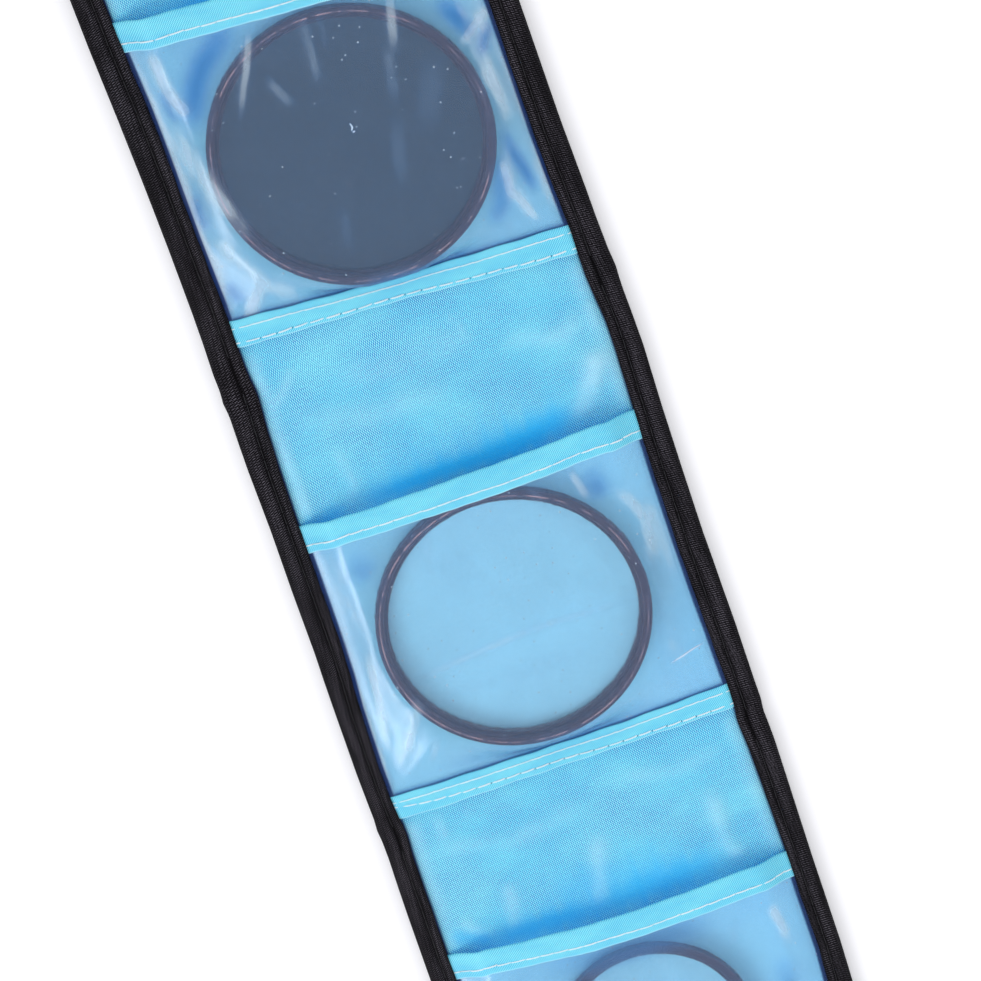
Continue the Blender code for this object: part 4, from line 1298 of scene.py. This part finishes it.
def add_mouth_tapes(material):
    outline = folded_outline(MOUTH_TAPE_WIDTH, 0.62, 0.3)
    for pocket in POCKETS:
        def place(station, rows):
            x = np.full(len(rows), station)
            slack = tape_sag(x, pocket) * slope_rise(x)
            pucker = 0.05 * puckered(station, near(rows[:, 0], 6.1, 1.6))
            height = mouth_middle(x) + 0.04 + rows[:, 1] * (1 - 0.35 * tuck_share(x)) + pucker
            y = mouth_high(pocket) - rows[:, 0] + 0.6 * slack
            return np.column_stack([x, y, height + 0.5 * slack.clip(0) - 0.35 * tucked(x)])

        # The under ply, below the fold's middle, gets painted shade
        obj = swept_band(
            f"mouth_tape_{pocket}_fold", outline, spaced(-TAPE_HALF, TAPE_HALF, 0.8), place, material,
            tape_layout(-1e-9), {"deep": (outline[:, 1] < 0.2) * 0.5}, outline[:, 2],
        )
        fixed(obj, f"panel_{pocket}", "tape", f"mouth_tape_{pocket}")


def ribbon_outline(width, thickness):
    """Section of a flat ribbon sewn near both edges: distance down, height, share across."""
    rows = [(width, 0.02, 0.0), (width, thickness * 0.6, 0.0), (width - 0.2, thickness, 0.02)]
    for down in np.linspace(width - 0.8, 0.8, 15):
        puff = 0.13 * math.sin(math.pi * down / width)
        seams = sum(0.13 * math.exp(-(((down - row) / 0.45) ** 2)) for row in (1.9, width - 2.3))
        rows.append((down, thickness + puff - seams, 1 - down / width))
    rows += [(0.2, thickness, 0.98), (0.0, thickness * 0.6, 1.0), (0.0, 0.02, 1.0)]
    for down in np.linspace(1.0, width - 1.0, 6):
        rows.append((down, 0.0, 1 - down / width))
    return np.array(rows)


def add_seam_tapes(material):
    outline = ribbon_outline(SEAM_TAPE_WIDTH, 0.36)
    for pocket in POCKETS:
        def place(station, rows):
            x = np.full(len(rows), station)
            pucker = 0.045 * puckered(station, near(rows[:, 0], 1.9, 1.1), near(rows[:, 0], 6.1, 1.1))
            wave = 0.16 * (1 + np.sin(station * 0.31 + pocket * 2)) * smooth((50 - abs(station)) / 8)
            edge = 0.12 * math.sin(station * 0.45 + pocket)
            height = TAPE_LOW + rows[:, 1] + (pucker + wave * 0.5) * (rows[:, 1] > 0.1)
            return np.column_stack([x, seam_top(pocket) - rows[:, 0] + edge, height - tucked(x)])

        obj = swept_band(
            f"seam_tape_{pocket}_ribbon", outline, spaced(-TAPE_HALF, TAPE_HALF, 0.8), place, material,
            tape_layout(0.01), {"deep": np.zeros(len(outline))}, outline[:, 2],
        )
        fixed(obj, f"panel_{pocket}", "tape", f"seam_tape_{pocket}")


class Sewing:
    """A geometry node tree, built node by node, with named inputs for its sizes and materials."""

    def __init__(self, name, sizes, counts=(), materials=("Material",)):
        self.tree = bpy.data.node_groups.new(name, "GeometryNodeTree")
        self.tree.interface.new_socket("Geometry", in_out="OUTPUT", socket_type="NodeSocketGeometry")
        kinds = {"Geometry": ("Geometry",), "Float": sizes, "Int": counts, "Material": materials}
        for kind, labels in kinds.items():
            for label in labels:
                self.tree.interface.new_socket(label, in_out="INPUT", socket_type=f"NodeSocket{kind}")
        self.input = self.tree.nodes.new("NodeGroupInput")

    def given(self, label):
        return self.input.outputs[label]

    def node(self, kind, settings=None, sockets=None):
        node = self.tree.nodes.new(kind)
        for name, value in (settings or {}).items():
            setattr(node, name, value)
        for name, value in (sockets or {}).items():
            if isinstance(value, bpy.types.NodeSocket):
                self.tree.links.new(value, node.inputs[name])
            else:
                node.inputs[name].default_value = value
        return node.outputs[0]

    def scaled(self, value, factor):
        """A named input, or another value of the tree, times a factor."""
        value = self.given(value) if isinstance(value, str) else value
        return self.node("ShaderNodeMath", {"operation": "MULTIPLY"}, {0: value, 1: factor})

    def spot(self, **axes):
        """A place from its coordinates, with zero for those not given."""
        sockets = {axis.upper(): value for axis, value in axes.items()}
        return self.node("ShaderNodeCombineXYZ", sockets=sockets)

    def chance(self, low, high, seed):
        """A different vector between two limits for each place."""
        sockets = {0: low, 1: high, "Seed": seed}
        return self.node("FunctionNodeRandomValue", {"data_type": "FLOAT_VECTOR"}, sockets)

    def along_curve(self):
        """The turn that lays a piece along the curve it sits on."""
        sockets = {"Vector": self.node("GeometryNodeInputTangent")}
        return self.node("FunctionNodeAlignRotationToVector", {"axis": "X"}, sockets)

    def euler(self, angles):
        return self.node("FunctionNodeEulerToRotation", sockets={0: angles})

    def circle(self, resolution, radius):
        sockets = {"Resolution": resolution, "Radius": radius}
        return self.node("GeometryNodeCurvePrimitiveCircle", {"mode": "RADIUS"}, sockets)

    def stub(self, radius, depth):
        """A short six-sided rod."""
        sockets = {"Vertices": 6, "Radius": radius, "Depth": depth}
        return self.node("GeometryNodeMeshCylinder", {"fill_type": "NGON"}, sockets)

    def strand(self, resolution, sides, thickness, *places):
        """A strand along one curve, given by its start, two handles and its end."""
        sockets = dict(zip(("Start", "Start Handle", "End Handle", "End"), places), Resolution=resolution)
        curve = self.node("GeometryNodeCurvePrimitiveBezierSegment", sockets=sockets)
        section = self.circle(sides, self.scaled(thickness, 0.5))
        return self.node("GeometryNodeCurveToMesh", sockets={0: curve, 1: section, "Fill Caps": True})

    def repeated(self, piece, points, turn, label="Material", **more):
        """Copies of a piece on points, made real in one of the given materials."""
        sockets = {"Points": points, "Instance": piece, "Rotation": turn, **more}
        copies = self.node("GeometryNodeInstanceOnPoints", sockets=sockets)
        real = self.node("GeometryNodeRealizeInstances", sockets={0: copies})
        return self.node("GeometryNodeSetMaterial", sockets={"Geometry": real, "Material": self.given(label)})

    def finish(self, *parts):
        joined = self.tree.nodes.new("GeometryNodeJoinGeometry")
        for part in parts:
            self.tree.links.new(part, joined.inputs[0])
        self.tree.links.new(joined.outputs[0], self.tree.nodes.new("NodeGroupOutput").inputs[0])
        return self.tree


def stitch_tree():
    """Stitches along a seam line: flat runs of thread that dip into slanted needle holes between them."""
    sizes = ("Pitch", "Length", "Thread", "Slant", "Hole")
    s = Sewing("stitch_row", sizes, materials=("Material", "Hole Material"))
    half, back = s.scaled("Length", 0.5), s.scaled("Length", -0.5)
    sink, lift = s.scaled("Thread", -0.45), s.scaled("Thread", 0.72)
    left, right = s.scaled("Slant", -1.0), s.given("Slant")
    stitch = s.strand(
        8, 6, "Thread", s.spot(x=back, y=left, z=sink), s.spot(x=s.scaled(back, 0.9), y=left, z=lift),
        s.spot(x=s.scaled(half, 0.9), y=right, z=lift), s.spot(x=half, y=right, z=sink),
    )
    path = s.node("GeometryNodeMeshToCurve", sockets={0: s.given("Geometry")})
    sockets = {"Curve": path, "Length": s.given("Pitch")}
    marks = s.node("GeometryNodeResampleCurve", {"mode": "LENGTH"}, sockets)
    wander = s.euler(s.chance((-0.02, -0.02, -0.035), (0.02, 0.02, 0.035), SEED))
    turn = s.node("FunctionNodeRotateRotation", {"rotation_space": "LOCAL"}, {0: s.along_curve(), 1: wander})
    uneven = s.chance((0.95, 0.9, 0.9), (1.03, 1.1, 1.1), SEED + 1)
    hole = s.node("GeometryNodeTransform", sockets={
        "Geometry": s.stub(s.given("Hole"), s.scaled("Thread", 0.3)),
        "Translation": s.spot(x=s.scaled("Pitch", 0.5)),
        "Rotation": (0, 0, 1.05), "Scale": (1.0, 0.36, 1.0),
    })
    holes = s.repeated(hole, marks, turn, "Hole Material")
    return s.finish(holes, s.repeated(stitch, marks, turn, Scale=uneven))


def pile_tree():
    """Strands standing on a patch: arched loops, or stems bent over into hooks."""
    s = Sewing("patch_pile", ("Height", "Strand", "Bend"))
    strand = s.strand(
        5, 4, "Strand", s.spot(x=s.scaled("Bend", -0.5)),
        s.spot(x=s.scaled("Bend", -0.4), z=s.scaled("Height", 1.5)),
        s.spot(x=s.scaled("Bend", 0.7), z=s.scaled("Height", 1.3)),
        s.spot(x=s.scaled("Bend", 0.6), z=s.scaled("Height", 0.3)),
    )
    points = s.node("GeometryNodeMeshToPoints", sockets={0: s.given("Geometry")})
    nudge = s.chance((-0.00025, -0.00025, 0), (0.00025, 0.00025, 0), SEED)
    points = s.node("GeometryNodeSetPosition", sockets={"Geometry": points, "Offset": nudge})
    spin = s.euler(s.chance((-0.25, -0.25, -0.7), (0.25, 0.25, 0.7), SEED + 2))
    uneven = s.chance((0.8, 0.8, 0.75), (1.2, 1.2, 1.1), SEED + 3)
    return s.finish(s.repeated(strand, points, spin, Scale=uneven))


def knurl_tree():
    """Grip ribs round a filter's rim."""
    s = Sewing("rim_knurl", ("Radius", "Rib Width", "Rib Height"), ("Count",))
    rim = s.circle(s.given("Count"), s.given("Radius"))
    rib = s.stub(s.scaled("Rib Width", 0.5), s.given("Rib Height"))
    return s.finish(s.repeated(rib, rim, s.along_curve()))


def grown(name, base, tree, values, shift=(0, 0, 0)):
    """Runs a node tree on a base mesh and keeps the result as a plain mesh in place."""
    seed = linked(bpy.data.objects.new(f"{name}_base", base))
    modifier = seed.modifiers.new("Grow", "NODES")
    modifier.node_group = tree
    for item in tree.interface.items_tree:
        if item.in_out == "INPUT" and item.name in values:
            modifier[item.identifier] = values[item.name]
    bpy.context.view_layer.update()
    evaluated = seed.evaluated_get(bpy.context.evaluated_depsgraph_get())
    mesh = bpy.data.meshes.new_from_object(evaluated)
    bpy.data.objects.remove(seed)
    mesh.name = name
    mesh.transform(Matrix.Translation(Vector(shift) * MM))
    soften(mesh, 50)
    return linked(bpy.data.objects.new(name, mesh))


def seam_lines(paths):
    """A mesh of open lines, one for each seam, from points in millimetres."""
    mesh = bpy.data.meshes.new("seam_lines")
    points, edges = [], []
    for path in paths:
        first = len(points)
        points += (np.asarray(path) * MM).tolist()
        edges += [(i, i + 1) for i in range(first, len(points) - 1)]
    mesh.from_pydata(points, edges, [])
    return mesh


def sewn(name, tree, paths, sizes, thread, hole):
    """Seams along paths, with pitch, length, thread width, slant and needle hole given in millimetres."""
    labels = ("Pitch", "Length", "Thread", "Slant", "Hole")
    values = {label: size * MM for label, size in zip(labels, sizes)}
    return grown(name, seam_lines(paths), tree, {**values, "Material": thread, "Hole Material": hole})


def add_tape_stitches(tree, thread, hole):
    """White seams: one row on each mouth tape, and a close and an open row on each foot tape."""
    x = spaced(-50.4, 50.4, 1.2)
    wide_gap = np.full_like(x, 7.0)
    askew_gap = np.interp(x, (-50, -40, -30, 0, 20, 50), (4.0, 5.0, 5.9, 6.2, 7.0, 7.1))
    for pocket in POCKETS:
        slack = tape_sag(x, pocket) * slope_rise(x)
        mouth_y = mouth_low(pocket) + 2.5 + 0.6 * slack + 0.1 * np.sin(x * 0.21 + pocket)
        mouth_z = mouth_middle(x) + 0.60 + 0.5 * slack.clip(0) - tucked(x)
        rise = 0.08 * (1 + np.sin(x * 0.31 + pocket * 2)) * smooth((50 - np.abs(x)) / 8) - tucked(x)
        upper_y = seam_top(pocket) - 2.4 + 0.12 * np.sin(x * 0.17 + pocket)
        gap = askew_gap if pocket == 2 else wide_gap
        lower_y = seam_top(pocket) - gap + 0.1 * np.sin(x * 0.23 + 2)
        rows = (
            ("mouth", mouth_y, mouth_z, (4.35, 4.5, 0.44, 0.03, 0.2)),
            ("upper", upper_y, TAPE_TOP + 0.03 + rise, (3.7, 4.15, 0.38, 0.03, 0.14)),
            ("lower", lower_y, TAPE_TOP + 0.06 + rise, (4.5, 4.2, 0.45, 0.08, 0.34)),
        )
        for label, y, z, sizes in rows:
            path = settle(np.column_stack([x, y, z]))
            obj = sewn(f"{label}_stitches_{pocket}", tree, [path], sizes, thread, hole)
            fixed(obj, f"panel_{pocket}", "tape")


def add_binding_stitches(tree, thread):
    """Black seams in the grooves of the bindings, above and below, split where each body takes over."""
    groove, fold_gap = BINDING_INNER + GROOVE_INSET, 6.2
    above_and_below = (4.56, 0.3)
    cuts = [TIP_Y - 9 - fold_gap, *(fold[0] for fold in FOLDS.values()), END_Y + 3]
    bodies = ["tongue", "spine", *(f"panel_{pocket}" for pocket in POCKETS)]
    ends_across = {"tongue": TIP_Y - 5.3, "panel_4": END_Y + 5.3}
    for body, high, low in zip(bodies, cuts, cuts[1:]):
        high = TIP_Y - 9 if body == "tongue" else high - fold_gap
        y = spaced(high, low + fold_gap, 2)
        paths = []
        for side in (-1, 1):
            for height in above_and_below:
                line = np.column_stack([np.full_like(y, side * groove), y, np.full_like(y, height)])
                paths.append(settle(line))
        if body in ends_across:
            x = spaced(-TAPE_HALF, TAPE_HALF, 2)
            y = np.full_like(x, ends_across[body])
            paths += [np.column_stack([x, y, np.full_like(x, height)]) for height in above_and_below]
        obj = sewn(f"binding_stitches_{body}", tree, paths, (3.4, 3.0, 0.26, 0.0, 0.14), thread, thread)
        fixed(obj, body, "binding")


def turned_piece(name, profile, centre, material, steps, notches=0):
    """A ring turned from a closed profile of (radius, height), with its sharp corners marked for wear."""
    rows = []
    for here, ahead in zip(profile, profile[1:] + profile[:1]):
        rows.append((*here, 1.0))
        gap = math.dist(here, ahead)
        if gap > 0.6:
            for share in (0.16 / gap, 1 - 0.16 / gap):
                spot = (start + (end - start) * share for start, end in zip(here, ahead))
                rows.append((*spot, 0.0))
    radius, height, corner = np.array(rows).T
    points = []
    for angle in np.linspace(0, 2 * math.pi, steps, endpoint=False):
        level = height
        if notches:
            beside = (angle * notches / (2 * math.pi) + 0.5) % 1 - 0.5
            if abs(beside) * 2 * math.pi / notches * radius.mean() < 1.1:
                level = np.where(height > height.max() - 0.12, height - 0.34, height)
        points.append(np.column_stack([radius * math.cos(angle), radius * math.sin(angle), level]))
    points = np.concatenate(points) + np.array([*centre, 0])
    index = np.arange(len(points)).reshape(steps, len(rows))
    along, across = np.roll(index, -1, axis=0), np.roll(index, -1, axis=1)
    quads = np.stack([index, along, np.roll(along, -1, axis=1), across], -1).reshape(-1, 4)
    marks = {"corner": np.tile(corner, steps)}
    return facing_out(make_mesh(name, points, quads.tolist(), material, marks=marks, sharp=28))


def thread_teeth(radius, depth, low, high, pitch):
    """Profile points of a screw thread's ridges along a wall."""
    rows = []
    for tooth in np.arange(low, high - pitch * 0.9, pitch):
        rows += [(radius, tooth + pitch * 0.12), (radius + depth, tooth + pitch * 0.42),
                 (radius + depth, tooth + pitch * 0.58), (radius, tooth + pitch * 0.88)]
    return rows


def add_filters(ring_material, glasses, knurl):
    steps = 224
    for number, glass in zip(FILTERS, glasses):
        body, ring, retainer = f"filter_{number}", f"filter_ring_{number}", f"glass_retainer_{number}"
        (left, right), (near_y, far_y) = node_span(ring, 0), node_span(ring, 1)
        centre, rim = ((left + right) / 2, (near_y + far_y) / 2), (right - left) / 2
        thread, bore, base, top = rim - 1.65, rim - 2.5, FILTER_LOW, FILTER_TOP
        seat = node_span(f"filter_glass_{number}", 0)[1] + 0.15
        lip = seat - 0.5
        waist = base + 2.2
        bore_teeth = thread_teeth(bore, 0.2, base + 3.9, top - 0.3, 0.45)
        profile = [
            (lip, base + 0.12), (lip + 0.12, base), (thread - 0.25, base), (thread, base + 0.25),
            *thread_teeth(thread, -0.22, base + 0.3, waist, 0.62),
            (thread, waist), (rim - 0.35, waist), (rim, waist + 0.3), (rim, waist + 0.7),
            (rim - 0.14, waist + 0.78), (rim - 0.14, top - 0.78), (rim, top - 0.7), (rim, top - 0.28),
            (rim - 0.28, top), (bore + 0.22, top), (bore, top - 0.22), *reversed(bore_teeth),
            (bore, base + 3.8), (seat, base + 3.8), (seat, base + 0.9), (lip, base + 0.9),
        ]
        fixed(turned_piece(f"{body}_ring", profile, centre, ring_material, steps), body, "ring", ring)
        low, high = node_span(retainer, 2)
        outer = node_span(retainer, 0)[1]
        inner = outer - 0.45
        profile = [
            (inner + 0.06, low), (outer - 0.05, low), (outer, low + 0.05), (outer, high - 0.08),
            (outer - 0.08, high), (inner + 0.1, high), (inner, high - 0.1), (inner, low + 0.06),
        ]
        obj = turned_piece(f"{body}_retainer", profile, centre, ring_material, steps, notches=2)
        fixed(obj, body, "ring", retainer)
        values = {
            "Radius": (rim - 0.2) * MM, "Count": int(rim * 4.4), "Rib Width": 0.4 * MM,
            "Rib Height": (top - waist - 1.6) * MM, "Material": ring_material,
        }
        start = bpy.data.meshes.new("rim_start")
        fixed(grown(f"{body}_knurl", start, knurl, values, (*centre, (top + waist) / 2)), body, "ring")
        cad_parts[f"filter_glass_{number}"].material_slots[0].material = glass


def add_patches(materials, pile, stitches):
    """Hook tape on the tongue's inner face and loop tape on the last panel's back, each on a sewn ground."""
    inset, border = 2.2, 1.2
    plan = (
        ("hook", "tongue", 1, 0.9, 0.26, {"Height": 0.85 * MM, "Strand": 0.16 * MM, "Bend": 0.45 * MM}),
        ("loop", "panel_4", -1, 0.2, 0.14, {"Height": 0.28 * MM, "Strand": 0.10 * MM, "Bend": 0.9 * MM}),
    )
    for kind, body, up, ground, thread, sizes in plan:
        node = f"{kind}_patch"
        (left, right), (near_y, far_y), (low, high) = (node_span(node, axis) for axis in range(3))
        seat = low if up > 0 else high

        def soft(x, y):
            rim = np.minimum(np.minimum(x - left, right - x), np.minimum(y - near_y, far_y - y))
            return smooth(rim / 1.2)

        def top(x, y):
            return seat + ground * (0.35 + 0.65 * soft(x, y)) if up > 0 else np.full_like(x, seat)

        def depth(x, y):
            return top(x, y) - low if up > 0 else ground * (0.4 + 0.6 * soft(x, y))

        across, along = (
            grid_lines(spaced(a, b, 2), [a + 0.3, a + 0.8, b - 0.8, b - 0.3])
            for a, b in ((left, right), (near_y, far_y))
        )
        obj = cloth_slab(f"{kind}_tape_ground", across, along, top, depth, materials[kind], settled=False)
        fixed(obj, body, kind, node)

        across, along = spaced(left + inset, right - inset, 1.15), spaced(near_y + inset, far_y - inset, 1.15)
        x, y = (grid.ravel() for grid in np.meshgrid(across, along))
        field = bpy.data.meshes.new("pile_field")
        field.from_pydata((np.column_stack([x, y * up, np.zeros_like(x)]) * MM).tolist(), [], [])
        obj = grown(f"{kind}_pile", field, pile, {**sizes, "Material": materials[f"{kind}_pile"]})
        if up < 0:
            obj.data.transform(Matrix.Rotation(math.pi, 4, "X"))
        obj.data.transform(Matrix.Translation((0, 0, (seat + up * ground * 0.92) * MM)))
        fixed(obj, body, kind)

        x_low, x_high, y_low, y_high = left + border, right - border, near_y + border, far_y - border
        corners = [(x_low, y_low), (x_high, y_low), (x_high, y_high), (x_low, y_high)]
        share = spaced(0, 1, 0.04)[:, None]
        level = np.full_like(share, seat + up * ground * 0.95)
        paths = []
        for (ax, ay), (bx, by) in zip(corners, corners[1:] + corners[:1]):
            paths.append(np.hstack([ax + (bx - ax) * share, ay + (by - ay) * share, level]))
        black = materials["black_thread"]
        obj = sewn(f"{kind}_patch_stitches", stitches, paths, (2.6, 2.3, thread, 0.0, 0.1), black, black)
        fixed(obj, body, kind)


def add_floor(material):
    reach, level = 2.5, -0.00012
    corners = [(-reach, -reach, level), (reach, -reach, level), (reach, reach, level), (-reach, reach, level)]
    mesh = bpy.data.meshes.new("floor")
    mesh.from_pydata(corners, [], [(0, 1, 2, 3)])
    mesh.materials.append(material)
    linked(bpy.data.objects.new("floor", mesh))


def add_camera():
    sensor, pixels, focal_pixels = 36, 981, 4121.5
    camera = bpy.data.objects.new("camera", bpy.data.cameras.new("camera"))
    camera.data.sensor_width = sensor
    camera.data.sensor_fit = "HORIZONTAL"
    camera.data.lens = focal_pixels / pixels * sensor
    camera.data.clip_end = 20
    right = Vector((0.95159, -0.30217, 0.05633))
    up = Vector((0.3016, 0.88252, -0.36082))
    back = Vector((0.05931, 0.36035, 0.93093))
    place = Matrix((right, up, back)).transposed().to_4x4()
    place.translation = Vector((75.01, 475.93, 1098.67)) * MM
    camera.matrix_world = place
    bpy.context.scene.camera = linked(camera)


def add_light(name, place, size, power):
    """A round lamp aimed at the middle of the strip."""
    aim = Vector((0, 0.05, 0))
    light = bpy.data.lights.new(name, "AREA")
    light.shape = "DISK"
    light.size = size
    light.energy = power
    light.color = LAMP_COLOUR
    lamp = linked(bpy.data.objects.new(name, light))
    lamp.location = place
    lamp.rotation_euler = (aim - Vector(place)).to_track_quat("-Z", "Y").to_euler()


def light_studio():
    world = bpy.data.worlds.new("studio")
    world.use_nodes = True
    background = world.node_tree.nodes["Background"]
    background.inputs["Color"].default_value = (*LAMP_COLOUR, 1)
    background.inputs["Strength"].default_value = 0.74
    bpy.context.scene.world = world
    bpy.context.scene.view_settings.view_transform = "Standard"
    add_light("key", (-1.1, -0.6, 1.0), 0.9, 9.0)
    add_light("side", (1.2, 0.1, 0.9), 0.7, 3.0)


def main():
    add_camera()
    light_studio()
    add_floor(pale_floor())
    white = sewing_thread("white_thread", (0.92, 1.0, 1.0), (0.62, 0.90, 0.98))
    black = sewing_thread("black_thread", (0.014, 0.014, 0.018), (0.004, 0.004, 0.006))
    tape, ribbon = tape_nylon(), binding_ribbon()
    add_linings(lining_nylon())
    add_shells(shell_nylon())
    add_padding(foam_sheet())
    add_films(frosted_film())
    add_mouth_tapes(tape)
    add_seam_tapes(tape)
    add_side_bindings(ribbon)
    add_end_bindings(ribbon)
    stitches = stitch_tree()
    add_tape_stitches(stitches, white, needle_hole())
    add_binding_stitches(stitches, black)
    clear = filter_glass("clear_filter_glass", (0.99, 0.995, 1.0), (0.9, 0.95, 1.0))
    dark = filter_glass("dark_filter_glass", (0.235, 0.245, 0.27), (0.85, 0.9, 1.0))
    add_filters(anodised_ring(), (dark, clear, clear), knurl_tree())
    patches = {
        "hook": patch_plastic("hook_ground", (0.006, 0.006, 0.007), (0.018, 0.018, 0.021)),
        "hook_pile": patch_plastic("hook_strands", (0.010, 0.010, 0.012), (0.045, 0.045, 0.05)),
        "loop": patch_plastic("loop_ground", (0.006, 0.006, 0.007), (0.016, 0.016, 0.018)),
        "loop_pile": patch_plastic("loop_strands", (0.012, 0.012, 0.014), (0.05, 0.05, 0.056)),
        "black_thread": black,
    }
    add_patches(patches, pile_tree(), stitches)


main()
